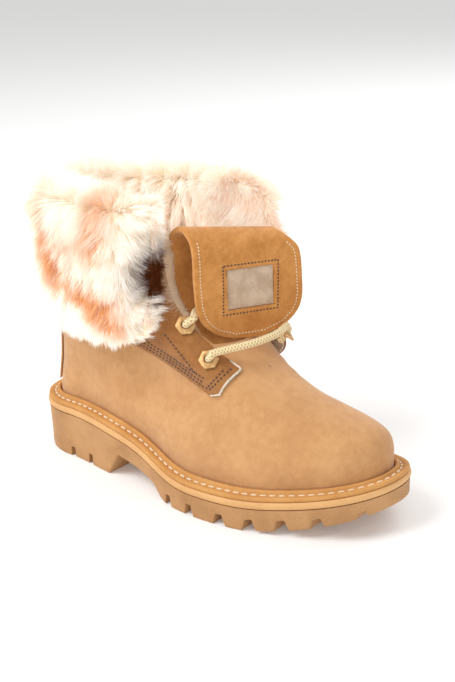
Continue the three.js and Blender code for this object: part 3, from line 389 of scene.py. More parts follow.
# %% Leather finishes
def nubuck(name, deep, middle, pale, cloud=26, grain=0.55):
    """Clouds and brush marks move the colour from deep to middle, and specks of the nap towards pale."""
    finish = Finish(name, roughness=0.86, sheen_weight=0.22, sheen_roughness=0.5, specular_ior_level=0.25)
    clouds = finish.noise(cloud, 4, 0.6)
    brushed = finish.noise(cloud / 5, 3, 0.6)
    nap = finish.noise(grain, 2, 0.7)
    tone = finish.ramp(clouds * 0.6 + brushed * 0.4, 0.33, 0.68)
    base = finish.blend(tone, deep, middle)
    base = finish.blend(finish.ramp(nap, 0.52, 0.78) * 0.35, base, pale)
    finish.bump(nap * 0.6 + brushed * 1.6, 0.5, 0.35)
    return finish.wear(base_color=base, roughness=0.92 - tone * 0.1)


vamp_leather = nubuck("nubuck_vamp", colour(190, 139, 90), colour(206, 156, 105), colour(224, 180, 132))
# The quarters' nubuck is darker and more orange than the vamp's: partly its own browner tone, and partly
# painted shade cast by the fur cuff that hangs over the quarters.
quarter_leather = nubuck("nubuck_quarter", colour(140, 88, 42), colour(166, 112, 62), colour(196, 144, 92))
strip_leather = nubuck("nubuck_strip", colour(180, 128, 77), colour(202, 151, 99), colour(222, 178, 130))
ORANGE, AMBER, STRAW = colour(186, 122, 58), colour(211, 148, 80), colour(228, 176, 112)
tongue_leather = nubuck("tongue_leather", ORANGE, AMBER, STRAW, cloud=16)
print("leathers made")

# %% [markdown]
# ## Rubber, cloth and thread
# Moulded rubber is dull and nearly plain, with specks and slow clouds. The welt is just as plain,
# so it shares the function. Fleece and thread are curls of fibre: one noise gives their colour and their
# relief, with painted shade in the curls' hollows and painted light on their tops.

# %% Rubber, welt, fleece and thread finishes
def rubber(name, deep, middle, roughness):
    """Specks on slow clouds, for the colour, the gloss and a shallow relief."""
    finish = Finish(name, roughness=roughness, specular_ior_level=0.4)
    clouds = finish.noise(30, 4, 0.6)
    specks = finish.noise(1.1, 3, 0.6)
    base = finish.blend(finish.ramp(clouds * 0.7 + specks * 0.3, 0.3, 0.7), deep, middle)
    finish.bump(specks + clouds * 0.5, 0.25, 0.3)
    return finish.wear(base_color=base, roughness=roughness + specks * 0.12)


outsole_rubber = rubber("outsole_rubber", colour(166, 120, 74), colour(198, 150, 100), 0.58)
midsole_rubber = rubber("midsole_rubber", colour(208, 156, 98), colour(224, 176, 118), 0.5)
welt_leather = rubber("welt", colour(188, 130, 66), colour(210, 154, 88), 0.6)


def plain_cloth(name, deep, pale, size, roughness=0.95):
    """Curls of this size in millimetres, with painted shade in the hollows and painted light on top."""
    finish = Finish(name, roughness=roughness, sheen_weight=0.3, sheen_roughness=0.6)
    curls = finish.noise(size, 4, 0.7)
    # The curls' noise darkens their hollows as painted shade and lightens their tops as painted light.
    base = finish.blend(finish.ramp(curls, 0.3, 0.7), deep, pale)
    finish.bump(curls, 0.9, size * 0.5)
    return finish.wear(base_color=base)


fleece = plain_cloth("fleece", colour(196, 178, 152), colour(243, 234, 220), 2.4)
grey_fleece = plain_cloth("fleece_grey", colour(168, 156, 140), colour(226, 218, 206), 2.0)
dark_thread = plain_cloth("thread_dark", colour(56, 28, 12), colour(86, 48, 24), 0.5, 0.8)
pale_thread = plain_cloth("thread_pale", colour(226, 204, 168), colour(250, 238, 214), 0.5, 0.8)
print("rubber and cloth made")

# %% [markdown]
# ## The sole
# From above, a sole is an outline with its own half width on each side, rounded at heel and toe. From the
# side it has a flat heel, an arch and a toe that springs up. The outline and both height curves are
# functions of the place along the sole, so every layer of it can be worked out as an array of rings.

# %% The sole's curves
PLAN = table(
    "at width outer",
    (0.0, HEEL_WIDTH, 0.475),
    (0.15, 0.985 * HEEL_WIDTH, 0.47),
    (0.28, 1.01 * HEEL_WIDTH, 0.538),
    (0.4, WAIST_WIDTH, 0.59),
    (0.55, 0.893 * BALL_WIDTH, 0.587),
    (0.7, BALL_WIDTH, 0.52),
    (0.85, 0.945 * BALL_WIDTH, 0.476),
    (1.0, 0.9 * BALL_WIDTH, 0.49),
)
TREAD = table(
    "at height",
    (0.283, 0),
    (0.322, 0.45),
    (0.386, 0.355),
    (0.455, 0.24),
    (0.468, 0.16),
    (0.482, 0.06),
    (0.505, 0),
)
NOTCHES = table(
    "at top floor depth",
    (0.042, 4, 4, 0.85),
    (0.142, 4, 4.5, 0.95),
    (0.212, 4, 5, 1),
    (0.516, 4, 6.5, 1),
    (0.586, 4, 7.5, 1),
    (0.671, 4.5, 9, 1),
    (0.744, 4.5, 9.5, 1),
    (0.814, 4.5, 9.5, 0.95),
    (0.886, 4.5, 8, 0.8),
    (0.962, 4, 5, 0.5),
)
HEEL_ROUND = 0.13 * SOLE_LENGTH
TOE_ROUND = 0.27 * SOLE_LENGTH
TOE_POWER = 2.2
LUG_REACH = 21
CHANNEL = 4.5
CHANNEL_DEPTH = 0.6 * LUG_DEPTH


def length_share(x):
    """Share of the sole's length from its back end."""
    return (x + HEEL_CENTRE) / SOLE_LENGTH


def x_at(share):
    return share * SOLE_LENGTH - HEEL_CENTRE


def centre_drift(x):
    """How far the middle line bends inwards ahead of the ball, as a square."""
    return TOE_DRIFT * np.clip((length_share(x) - 0.6) / 0.4, 0, 1.02) ** 2


def half_width(x, side):
    """The width's outer or inner part, before the ends are rounded."""
    share = np.clip(length_share(x), 0, 1)
    outer = along(PLAN, "outer", share)
    return along(PLAN, "width", share) * np.where(side < 0, outer, 1 - outer)


def midsole_top(x):
    """A smooth drop from heel to ball, and a rise to the toe as a square."""
    share = length_share(x)
    level = mix(HEEL_HEIGHT, BALL_HEIGHT, smooth((share - 0.22) / 0.38))
    return level + TOE_LIFT * np.clip((share - 0.66) / 0.34, 0, 1.02) ** 2


def tread_height(x):
    """The arch from its table, and the toe's spring as a square."""
    share = length_share(x)
    spring = TOE_SPRING * np.clip((share - 0.67) / 0.33, 0, 1.02) ** 2
    return straight(TREAD, "height", share) * HEEL_HEIGHT + spring


def sole_edge(share, side, inset):
    """Outline set in by inset: half width times the two rounded ends, beside the drifting centre."""
    back, front = x_at(0) + inset, x_at(1) - inset
    x = mix(back, front, share)
    ends = rounded(x - back, HEEL_ROUND - inset) * rounded(front - x, TOE_ROUND - inset, TOE_POWER)
    return x, centre_drift(x) + side * (half_width(x, side) - inset) * ends


SOLE_STATIONS = 200


def eased(count):
    """Shares from 0 to 1 that lie closer together at both ends, as (1 - cos)/2 of an even angle."""
    return (1 - np.cos(np.pi * np.linspace(0, 1, count))) / 2


def sole_ring(inset, height):
    """One closed ring: forward along the outer side and back along the inner."""
    share = eased(SOLE_STATIONS + 1)
    x_out, y_out = sole_edge(share, OUTER, inset)
    x_in, y_in = sole_edge(share[-2:0:-1], INNER, inset)
    x, y = np.concatenate([x_out, x_in]), np.concatenate([y_out, y_in])
    return np.stack([x, y, height(x)], -1)


def ring_cap(columns, start):
    """Strips across a ring whose first half runs out and second half back."""
    i = np.arange(columns // 2)
    return np.stack([i, i + 1, (columns - i - 1) % columns, (columns - i) % columns], -1) + start


print("sole outline", 2 * SOLE_STATIONS, "points")

# %% [markdown]
# ## The outsole's lugs
# The tread is a height over the floor: notches open through the sole's side between the lugs, and a
# channel runs round inside them. Written as a height for each place under the sole, the tread needs no
# cutting. Grid lines are laid close together on both sides of each edge, so that the walls of the notches
# stay steep.

# %% Make the outsole
def notch_depth(x, from_edge):
    """Depth of the side notches: a trapezoid across each notch, as far in as the lugs reach."""
    depth = np.zeros_like(x)
    for at, top, floor, share in zip(*NOTCHES.values()):
        full = share * LUG_DEPTH
        slope = (floor - top) / 2 + 0.35
        away = np.abs(x - x_at(at))
        depth = np.maximum(depth, full * np.clip((floor / 2 + 0.3 - away) / slope, 0, 1))
    return depth * np.clip((LUG_REACH - from_edge) / 0.5, 0, 1)


RIM_ROUND = 1.1
EDGE_INSETS = np.array([0, 0.35, RIM_ROUND, 3, 8, 14, 20.4, 21.0, 21.7, 23.3, 24.8, 25.6])
EDGE_WIDTH = 27  # half widths under this squeeze the insets
WALL_STEPS = 7


def tread_relief(x, from_edge):
    """How far the tread is cut up: the deepest of the notches, the channel and the rounded rim."""
    channel = np.clip(np.minimum(from_edge - LUG_REACH, LUG_REACH + CHANNEL - from_edge) / 0.6, 0, 1)
    rim = RIM_ROUND - np.sqrt(RIM_ROUND**2 - np.clip(RIM_ROUND - from_edge, 0, RIM_ROUND) ** 2)
    return np.maximum(np.maximum(notch_depth(x, from_edge), CHANNEL_DEPTH * channel), rim)


def outsole_stations():
    """Places along the sole: an eased run, and one on each side of every corner of the tread."""
    at = x_at(NOTCHES["at"])
    edges = [at + s * (NOTCHES[k] / 2 + e) for s in (-1, 1) for k, e in (("top", -0.05), ("floor", 0.3))]
    places = np.concatenate([x_at(eased(261)), x_at(TREAD["at"]), *edges])
    return np.unique(np.clip(places, x_at(0), x_at(1)).round(3))


def outsole():
    """Grids of the tread, a height over rows along the sole, and of both walls, up to the midsole."""
    x = outsole_stations()[:, None]
    ends = rounded(x - x_at(0), HEEL_ROUND) * rounded(x_at(1) - x, TOE_ROUND, TOE_POWER)
    half_out = (half_width(x, OUTER) - OUTSOLE_DRAFT) * ends
    half_in = (half_width(x, INNER) - OUTSOLE_DRAFT) * ends
    left = EDGE_INSETS * np.minimum(1, half_out / EDGE_WIDTH) - half_out
    right_side = half_in - EDGE_INSETS * np.minimum(1, half_in / EDGE_WIDTH)
    middle = mix(left[:, -1:], right_side[:, -1:], np.linspace(0, 1, 7)[1:-1])
    across = np.concatenate([left, middle, right_side[:, ::-1]], 1)
    edge = np.maximum(np.minimum(across + half_out, half_in - across), 0)
    x_grid = np.broadcast_to(x, across.shape)
    low = tread_height(x_grid) + tread_relief(x_grid, edge)
    tread = np.stack([x_grid, across + centre_drift(x_grid), low], -1)
    top, share = midsole_top(x) - MIDSOLE_THICKNESS - GAP, np.linspace(0, 1, WALL_STEPS)
    walls = []
    for column, side in ((0, OUTER), (-1, INNER)):
        y = centre_drift(x) + side * (half_width(x, side) - OUTSOLE_DRAFT * (1 - share)) * ends
        walls.append(np.stack([np.broadcast_to(x, y.shape), y, mix(low[:, column, None], top, share)], -1))
    return tread, *walls


def outsole_faces(stations, columns):
    """Squares of the tread, of both walls, and of the lid between the walls' tops."""
    out_start, in_start = stations * columns, stations * (columns + WALL_STEPS)
    tops = np.arange(stations - 1) * WALL_STEPS + WALL_STEPS - 1
    out_top, in_top = tops + out_start, tops + in_start
    lid = np.stack([out_top, out_top + WALL_STEPS, in_top + WALL_STEPS, in_top], -1)
    wall = grid_faces(stations, WALL_STEPS)
    return np.concatenate([grid_faces(stations, columns), wall + out_start, wall + in_start, lid])


sole_grids = outsole()
sole_points = np.concatenate([grid.reshape(-1, 3) for grid in sole_grids])
sole_faces = outsole_faces(*sole_grids[0].shape[:2])
put("outsole_rubber", sole_points, sole_faces, outsole_rubber, "outsole_rubber", ["outsole"], sharp=38)

# %% [markdown]
# ## Midsole and welt
# Both are one section carried round the sole's outline. The midsole's edge is a soft round. The welt has a
# shelf with a groove for its stitches, and a raised bead against the leather.

# %% Make the midsole and the welt
def band(section, closed=False):
    """A section carried round the sole, each of its points an inset and a height function. A closed section
    joins up with itself, and an open one gets a flat face below and above."""
    rings = np.stack([sole_ring(inset, height) for inset, height in section])
    count, around = rings.shape[:2]
    if closed:
        return rings.reshape(-1, 3), ring_faces(count, around)
    caps = [ring_cap(around, 0)[:, ::-1], ring_cap(around, (count - 1) * around)]
    return rings.reshape(-1, 3), np.concatenate([grid_faces(count, around, wrap=True), *caps])


def over_midsole(rise):
    """A height function: this rise over the midsole's top."""
    return lambda x: midsole_top(x) + GAP + rise


def midsole_ring(angle):
    """Inset and height of a ring of the midsole, whose edge is half an ellipse."""
    inset = 0.9 - (0.9 + MIDSOLE_PROUD) * np.cos(angle)
    return inset, lambda x: midsole_top(x) - MIDSOLE_THICKNESS * (1 - np.sin(angle)) / 2


midsole_section = [midsole_ring(angle) for angle in np.linspace(-np.pi / 2, np.pi / 2, 9)]
put("midsole_rubber", *band(midsole_section), midsole_rubber, "midsole_rubber", ["midsole"], sharp=60)

STITCH_INSET = 5
WELT_SECTION = table(
    "inset rise",
    (WELT_WIDTH, 0.0),
    (0.6, 0.0),
    (0.25, 0.4),
    (0.2, 1.5),
    (0.5, 2.4),
    (1.1, 2.85),
    (2.6, 3.0),
    (3.6, 2.95),
    (4.2, 2.5),
    (5.0, 2.2),
    (5.7, 2.55),
    (6.1, 3.5),
    (6.5, 4.6),
    (7.1, 5.25),
    (7.8, 5.4),
    (8.5, 5.1),
    (WELT_WIDTH, 4.2),
)
welt_section = [(inset, over_midsole(rise)) for inset, rise in zip(*WELT_SECTION.values())]
put("welt_band", *band(welt_section, closed=True), welt_leather, "welt", ["welt"], sharp=60)

insole_inset = FEATHER + WALL + 2 * GAP
insole_section = [
    (insole_inset, over_midsole(0)),
    (insole_inset, over_midsole(0.7 * INSOLE_THICKNESS)),
    (insole_inset + 1.5, over_midsole(INSOLE_THICKNESS)),
]
put("insole_fleece", *band(insole_section), fleece, "fleece", ["insole"], sharp=60)

# %% [markdown]
# ## Stitches
# A stitch is a short bead of thread that dips into the leather at both ends. One bead is a small grid of
# points on an egg shape, and it is copied along a path as one array: along the path's direction, across
# it, and up along the surface's normal.

# %% Stitches along a path
BEAD_RINGS, BEAD_SIDES = 5, 6


def resample(points, pitch):
    """Points at even steps along a path, the path's direction there, and their share of the way."""
    run = np.concatenate([[0], np.cumsum(np.linalg.norm(np.diff(points, axis=0), axis=1))])
    places = np.arange(pitch / 2, run[-1], pitch)

    def shifted(by):
        return np.stack([np.interp(places + by, run, points[:, k]) for k in range(3)], -1)

    return shifted(0), unit(shifted(0.2) - shifted(-0.2)), places / run[-1]


def beads(centres, ahead, normals, length, width, height):
    """Egg-shaped beads: a ring's radius is the sine of its angle, stretched along, across and up."""
    angle = np.linspace(0, np.pi, BEAD_RINGS)[:, None]
    round_angle = 2 * np.pi * np.arange(BEAD_SIDES) / BEAD_SIDES
    run = np.broadcast_to(-np.cos(angle), (BEAD_RINGS, BEAD_SIDES)) * length / 2
    reach = np.sin(angle) ** 0.6
    parts = (
        (ahead, run),
        (unit(np.cross(normals, ahead)), reach * np.cos(round_angle) * width / 2),
        (normals, reach * np.sin(round_angle) * height / 2),
    )
    points = centres[:, None, None] + sum(way[:, None, None] * far[..., None] for way, far in parts)
    starts = np.arange(len(centres))[:, None, None] * BEAD_RINGS * BEAD_SIDES
    return points.reshape(-1, 3), (grid_faces(BEAD_RINGS, BEAD_SIDES, wrap=True) + starts).reshape(-1, 4)


def sew(name, paths, pitch, length, width, height, material, slot):
    """Rows of stitches along several paths, each given as points and the surface's normals there."""
    all_points, all_faces, count = [], [], 0
    for points, normals in paths:
        centres, ahead, share = resample(points, pitch)
        knots = np.linspace(0, 1, len(points))
        facing = np.stack([np.interp(share, knots, normals[:, k]) for k in range(3)], -1)
        made, faces = beads(centres, ahead, unit(facing), length, width, height)
        all_points.append(made)
        all_faces.append(faces + count)
        count += len(made)
    return put(name, np.concatenate(all_points), np.concatenate(all_faces), material, slot)


welt_row = sole_ring(STITCH_INSET, over_midsole(2.55))
welt_row = np.concatenate([welt_row, welt_row[:1]])
upward = np.tile([0.0, 0.0, 1.0], (len(welt_row), 1))
sew("welt_stitches", [(welt_row, upward)], 6.2, 4.7, 1.5, 1.3, pale_thread, "welt")

# %% [markdown]
# ## The upper's form
# The upper is a stack of rings. Low down a ring follows the sole's outline, higher up its front end moves
# back over the instep, and at the top it is the oval of the leg. A point is named by its turn round the
# ring and its rise up the stack, and one function gives its place.

# %% The upper's function
RINGS = table(
    "at back front backUp frontUp heel fore leg",
    (0, 0, 0, 0, 0, 0, 0, 0),
    (0.04, 0, 0, 0.037, 0.042, 0, 0, 0),
    (0.1, 0.006, 0.001, 0.105, 0.106, 0.004, 0.01, 0),
    (0.16, 0.011, 0.006, 0.159, 0.156, 0.004, -0.01, 0),
    (0.22, 0.015, 0.019, 0.207, 0.192, 0.004, -0.05, 0.04),
    (0.28, 0.018, 0.042, 0.255, 0.222, 0.004, -0.095, 0.1),
    (0.34, 0.021, 0.077, 0.302, 0.248, 0.006, -0.13, 0.16),
    (0.41, 0.024, 0.13, 0.35, 0.278, 0.01, -0.155, 0.24),
    (0.55, 0.029, 0.25, 0.459, 0.362, 0.02, -0.165, 0.45),
    (0.62, 0.032, 0.313, 0.52, 0.418, 0.025, -0.15, 0.6),
    (0.69, 0.034, 0.371, 0.588, 0.485, 0.03, -0.13, 0.75),
    (0.76, 0.036, 0.423, 0.663, 0.56, 0.03, -0.11, 0.88),
    (0.83, 0.038, 0.466, 0.744, 0.653, 0.03, -0.1, 1.0),
    (0.91, 0.039, 0.487, 0.86, 0.8, 0.03, -0.1, 1.0),
    (1.0, 0.039, 0.492, 1.0, 1.0, 0.03, -0.1, 1.0),
)
BODY = table(
    "at outer inner outerNarrow innerNarrow",
    (0.0, 0.225, 0.262, 1.0, 0.4),
    (0.15, 0.225, 0.265, 1.0, 0.4),
    (0.28, 0.275, 0.265, 1.0, 0.3),
    (0.4, 0.31, 0.262, 1.0, 0.25),
    (0.55, 0.415, 0.3, 1.0, 0.4),
    (0.7, 0.425, 0.37, 1.0, 0.85),
    (0.85, 0.355, 0.39, 1.0, 1.0),
    (1.0, 0.345, 0.36, 1.0, 1.0),
)
BODY_FROM, BODY_TO = 0.065, 0.24


def ring_ends(rise):
    """Where a ring begins at the back and ends at the front."""
    return x_at(along(RINGS, "back", rise)) + FEATHER, x_at(1 - along(RINGS, "front", rise)) - FEATHER


def upper_face(turn, rise):
    """Place on the outer face: half widths of sole, foot and leg mixed by height, between round ends."""
    turn, rise = np.broadcast_arrays(np.asarray(turn, float), np.asarray(rise, float))
    side = np.where(turn < 0, OUTER, INNER)
    share = (1 - np.cos(2 * np.pi * np.abs(turn))) / 2
    back, front = ring_ends(rise)
    x = mix(back, front, share)
    leg = along(RINGS, "leg", rise)
    spot = np.clip(length_share(x), 0, 1)
    forward = smooth((length_share(x) - 0.2) / 0.35)
    swell = mix(along(RINGS, "heel", rise), along(RINGS, "fore", rise), forward)
    body = np.where(side < 0, along(BODY, "outer", spot), along(BODY, "inner", spot)) * BALL_WIDTH
    narrow = np.where(side < 0, along(BODY, "outerNarrow", spot), along(BODY, "innerNarrow", spot))
    foot = mix(half_width(x, side) - FEATHER, body, smooth((rise - BODY_FROM) / (BODY_TO - BODY_FROM)))
    foot = foot + swell * BALL_WIDTH * np.where(swell < 0, narrow, 1)
    half = mix(foot, SHAFT_WIDTH / 2, leg)
    tail = mix(HEEL_ROUND - FEATHER, SHAFT_TAIL, leg)
    nose = mix(TOE_ROUND - FEATHER, SHAFT_NOSE, smooth(leg * 1.6))
    ends = rounded(x - back, tail) * rounded(front - x, nose, mix(TOE_POWER, 2, leg))
    leaning = smooth((rise - 0.42) / 0.5) * smooth((length_share(x) - 0.2) / 0.28)
    seam = 0.5 * smooth(1 - (0.5 - np.abs(turn)) / 0.11)
    splay = SPLAY * leaning * np.where(side > 0, 1 - seam, seam)
    y = centre_drift(x) * (1 - smooth(leg)) + side * half * ends + splay
    dip = midsole_top(x) - mix(midsole_top(back), midsole_top(front), share)
    back_level = HEEL_HEIGHT + along(RINGS, "backUp", rise) * SHAFT_HEIGHT
    front_level = mix(midsole_top(front), HEEL_HEIGHT, rise) + along(RINGS, "frontUp", rise) * SHAFT_HEIGHT
    z = GAP + mix(back_level, front_level, share) + dip * (1 - smooth(rise / 0.5))
    return np.stack([x, y, z], -1)


def face_normal(turn, rise):
    """Outward normal of the outer face, from small steps round and up."""
    step = 2e-3
    turn, rise = np.broadcast_arrays(np.asarray(turn, float), np.asarray(rise, float))

    def wrap(t):
        return np.where(t > 0.5, t - 1, np.where(t < -0.5, t + 1, t))

    around = upper_face(wrap(turn + step), rise) - upper_face(wrap(turn - step), rise)
    upward = upper_face(turn, np.clip(rise + step, 0, 1)) - upper_face(turn, np.clip(rise - step, 0, 1))
    return -unit(np.cross(around, upward))


def off_face(turn, rise, out):
    """A place this far out from the outer face, along its normal."""
    out = np.asarray(out, float)[..., None]
    return upper_face(turn, rise) + face_normal(turn, rise) * out


def turn_at(x, side, rise):
    """The turn that lies at x on a ring, from the cosine that spreads the turns along it."""
    back, front = ring_ends(rise)
    return side * np.arccos(1 - 2 * np.clip((x - back) / (front - back), 0, 1)) / (2 * np.pi)


def halved(is_under, low, high, times):
    """The place between low and high where is_under stops being true, by halving the range."""
    for _ in range(times):
        middle = (low + high) / 2
        under = is_under(middle)
        low, high = np.where(under, middle, low), np.where(under, high, middle)
    return low


def face_at(x, z, side):
    """Turn and rise of the place with this x and z."""
    x, z = np.broadcast_arrays(np.asarray(x, float), np.asarray(z, float))

    def is_under(rise):
        return upper_face(turn_at(x, side, rise), rise)[..., 2] < z

    rise = halved(is_under, np.zeros_like(x), np.ones_like(x), 30)
    return turn_at(x, side, rise), rise


def up_at(share):
    """Height over the floor of a share of the shaft."""
    return HEEL_HEIGHT + share * SHAFT_HEIGHT


def shaft_share(z):
    """The share of the shaft at which a height lies."""
    return (z - HEEL_HEIGHT) / SHAFT_HEIGHT


print("shaft opening", np.round(ring_ends(1.0), 1), "mm from the heel's centre")

# %% [markdown]
# ## Where the leather is cut
# The throat is open at the front. Its edge is given from above, as a reach to each side along the foot,
# which leans out with the inner side of the leg. The quarters' front edges are cut the same way, a little
# wider. For each height, a search from the back seam forward finds where the leather ends.

# %% Edges of the leather
THROAT = {
    OUTER: table("at reach", (0.36, 0.9), (0.5, 0.95), (0.585, 0.7), (0.615, 0.4), (0.62, 0.0)),
    INNER: table("at reach", (0.36, 0.9), (0.5, 1.1), (0.585, 0.8), (0.615, 0.4), (0.62, 0.0)),
}
FACING = {
    OUTER: table("at reach", (0.36, 0.9), (0.5, 0.97), (0.585, 0.85), (0.7, 0.6)),
    INNER: table("at reach", (0.36, 0.9), (0.5, 1.2), (0.6, 1.4), (0.7, 1.5)),
}
THROAT_LEAN = table("at lean", (0.2, 0.0), (0.5, 0.0), (0.6, 0.3), (0.7, 0.65), (0.85, 1.0), (1.2, 1.0))
QUARTER_EDGE = table(
    "at up", (0.1, 0.62), (0.2, 0.5), (0.39, 0.4), (0.5, 0.33), (0.595, 0.265), (0.64, 0.245)
)
QUARTER_FRONT = table("at along", (0.2, 0.57), (0.265, 0.598), (0.28, 0.62), (0.4, 0.65), (1.2, 0.65))
QUARTER_BACK = 0.1
FLAP_OPEN = 9


def beyond_edge(points, side, edge):
    """Distance outside a throat edge: the greatest of how far past its reach, behind it and ahead of it."""
    share = length_share(points[..., 0])
    splay = straight(THROAT_LEAN, "lean", shaft_share(points[..., 2])) * SPLAY * smooth((share - 0.2) / 0.28)
    across = side * (points[..., 1] - (splay if side == INNER else 0))
    outside = across - straight(edge[side], "reach", share) * THROAT_WIDTH / 2
    first, last = edge[side]["at"][[0, -1]]
    past = np.maximum((first - share) * SOLE_LENGTH, (share - last) * SOLE_LENGTH)
    return np.maximum(outside, past)


def soft_least(*distances, radius=0.8):
    """Least of several distances, rounded where two are close, as log of a sum of exponentials."""
    stack = np.stack(np.broadcast_arrays(*distances))
    return -radius * np.log(np.sum(np.exp(-np.clip(stack, -40, 40) / radius), 0))


def inside_quarter(points, side):
    """Least distance within the quarter's lower, front, back and throat edges."""
    share = length_share(points[..., 0])
    above = points[..., 2] - up_at(along(QUARTER_EDGE, "up", share))
    front = straight(QUARTER_FRONT, "along", shaft_share(points[..., 2]))
    behind_front = (front - share) * SOLE_LENGTH
    ahead_of_back = (share - QUARTER_BACK) * SOLE_LENGTH
    return soft_least(above, behind_front, ahead_of_back, beyond_edge(points, side, FACING))


def span_of(inside, rise, side, samples=400):
    """Start and end of the first turns, at each rise, where a signed distance is above zero, and whether any
    are. Both ends lie where a straight line between two samples crosses zero."""
    turns = side * np.linspace(0, 0.5, samples)
    signed = inside(upper_face(turns[None], rise[:, None]), side)
    within, row = signed > 0, np.arange(len(rise))
    first = np.argmax(within, 1)
    left = ~within & (np.arange(samples) > first[:, None])
    last = np.where(left.any(1), np.argmax(left, 1), samples - 1)

    def crossing(high):
        low = np.clip(high - 1, 0, samples - 1)
        a, b = signed[row, low], signed[row, high]
        share = np.where(np.abs(b - a) > 1e-9, np.clip(a / np.where(a == b, 1, a - b), 0, 1), 0)
        return mix(turns[low], turns[high], share)

    start = np.where(first == 0, turns[0], crossing(first))
    end = np.where(left.any(1), crossing(last), turns[-1])
    return start, end, within.any(1)


# %% [markdown]
# ## The upper
# The leather is one sheet with an outer and an inner face. Its grid follows the rings and stops at the
# throat's edges. Shallow waves across the vamp are the creases of walking.

# %% Make the upper
THROAT_FROM = 0.6  # the rise from which the rings are open at the front


def crease(points):
    """Soft walking creases across the vamp: shallow waves that fade to both sides."""
    share = length_share(points[..., 0])
    faded = smooth((share - 0.6) / 0.05) * smooth((0.74 - share) / 0.06)
    faded = faded * smooth((shaft_share(points[..., 2]) - 0.1) / 0.1)
    return 0.22 * np.sin((share * SOLE_LENGTH + 0.25 * points[..., 1]) * 0.62) * faded


def inside_throat(points, side):
    return beyond_edge(points, side, THROAT)


def upper_sheet():
    """Turns and rises of the grid: round to the front seam below the throat, and up to its edges above."""
    rise = np.concatenate([np.linspace(0, THROAT_FROM, 90), np.linspace(THROAT_FROM + 0.005, 1, 60)])
    ends = {}
    for side in (OUTER, INNER):
        _, end, _ = span_of(inside_throat, rise, side)
        ends[side] = np.where(rise <= THROAT_FROM, side * 0.5, end)
    u = np.linspace(-1, 1, 321)
    shaped = np.sign(u) * (0.75 * np.abs(u) + 0.25 * (1 - np.cos(np.pi * np.abs(u))) / 2)
    turn = np.where(u < 0, -shaped * ends[OUTER][:, None], shaped * ends[INNER][:, None])
    return turn, np.broadcast_to(rise[:, None], turn.shape)


def upper_leather():
    """Outer and inner face of the leather, joined at the foot, at the top and along the throat's edges.
    Below the throat both ends of a ring fall together, and the weld closes them."""
    turn, rise = upper_sheet()
    lift = crease(upper_face(turn, rise))
    outside, inside = off_face(turn, rise, lift), off_face(turn, rise, lift - WALL)
    rows, columns = turn.shape
    sheet = rows * columns
    faces = [grid_faces(rows, columns), grid_faces(rows, columns)[:, ::-1] + sheet]
    level, upright = np.arange(columns - 1), np.arange(np.searchsorted(rise[:, 0], THROAT_FROM), rows - 1)
    borders = [(row * columns + level, 1) for row in (0, rows - 1)]
    borders += [(upright * columns + column, columns) for column in (0, columns - 1)]
    for edge, step in borders:
        faces.append(np.stack([edge, edge + step, edge + step + sheet, edge + sheet], -1))
    return np.concatenate([outside.reshape(-1, 3), inside.reshape(-1, 3)]), np.concatenate(faces)


put("upper_nubuck", *upper_leather(), vamp_leather, "nubuck", ["upper"], sharp=50)

# %% [markdown]
# ## The vamp's tip
# The rings are closed up to the throat's front end and open above it. A small sheet of the same leather
# carries the vamp's tip over the place where the rings part. Its lower border and its sides sink into the
# upper, so that they don't show.

# %% Make the vamp's tip
TIP_REACH = 0.1
TIP_LOW, TIP_HIGH = 0.575, 0.69


def vamp_tip():
    """A sheet over the front seam, 0.35 out in its middle, that sinks 0.3 under it below and aside."""
    t = np.linspace(-1, 1, 61)
    turns = np.where(t < 0, -1, 1) * (0.5 - TIP_REACH * np.abs(t))
    turn, rise = np.meshgrid(turns, np.linspace(TIP_LOW, TIP_HIGH, 30))
    from_side = (1 - (0.5 - np.abs(turn)) / TIP_REACH) / 0.3
    sunk = smooth(np.minimum((rise - TIP_LOW) / 0.05, from_side))
    return slab(off_face(turn, rise, mix(-0.3, 0.35, sunk)), off_face(turn, rise, -1.5), 0.4)


put("vamp_tip", *vamp_tip(), vamp_leather, "nubuck", sharp=60)

# %% [markdown]
# ## Quarters and heel strip
# The quarters are overlays that lie on the upper and carry the eyelets. Each is cut from the upper's own
# form, a little further out, so it follows every curve of it. The inner one hangs open at the front.

# %% Make the quarters and the heel strip
def flap_lift(turn, rise):
    """How far the inner quarter's front stands off the leg."""
    share = length_share(upper_face(turn, rise)[..., 0])
    return np.where(turn > 0, FLAP_OPEN * smooth((share - 0.46) / 0.17), 0)


def quarter_sheet(side, rows=150, columns=110):
    """Turns, rises and lift of a quarter's grid, whose rows run from its back to its front edge."""
    rise = np.linspace(0.2, 1, 700)
    start, end, found = span_of(inside_quarter, rise, side, 500)
    good = found & (np.abs(end - start) > 4e-4)
    low = rise[good][0]
    chosen = low + (rise[good][-1] - low) * np.linspace(0, 1, rows) ** 1.5
    start, end, _ = span_of(inside_quarter, chosen, side, 700)
    turn = mix(start[:, None], end[:, None], eased(columns))
    rise = np.broadcast_to(chosen[:, None], turn.shape)
    return turn, rise, OVERLAY_GAP + flap_lift(turn, rise)


quarters = {"quarter_outer": quarter_sheet(OUTER), "quarter_inner": quarter_sheet(INNER)}
for name, (turn, rise, lift) in quarters.items():
    over, under = off_face(turn, rise, lift + OVERLAY_THICKNESS), off_face(turn, rise, lift)
    put(name + "_nubuck", *slab(over, under, 0.45), quarter_leather, "nubuck", [name], sharp=60)

# %% [markdown]
# The inside of the open flap is wool. It is taken from the front part of the quarter's own grid, a little
# further in, so it hangs with the leather.

# %% Line the open flap with wool
LINED_COLUMNS = 30
flap_turn, flap_rise, flap_out = (grid[:, -LINED_COLUMNS:] for grid in quarters["quarter_inner"])
lining, wool = (off_face(flap_turn, flap_rise, flap_out - depth) for depth in (0.1, 1.9))
put("flap_lining", *slab(lining, wool, 0.6), grey_fleece, "fleece", sharp=70)

# %% [markdown]
# The heel strip lies on the upper in the same way, as wide at every height. Its two edges are found as the
# turns at which the face is half that width from the middle.

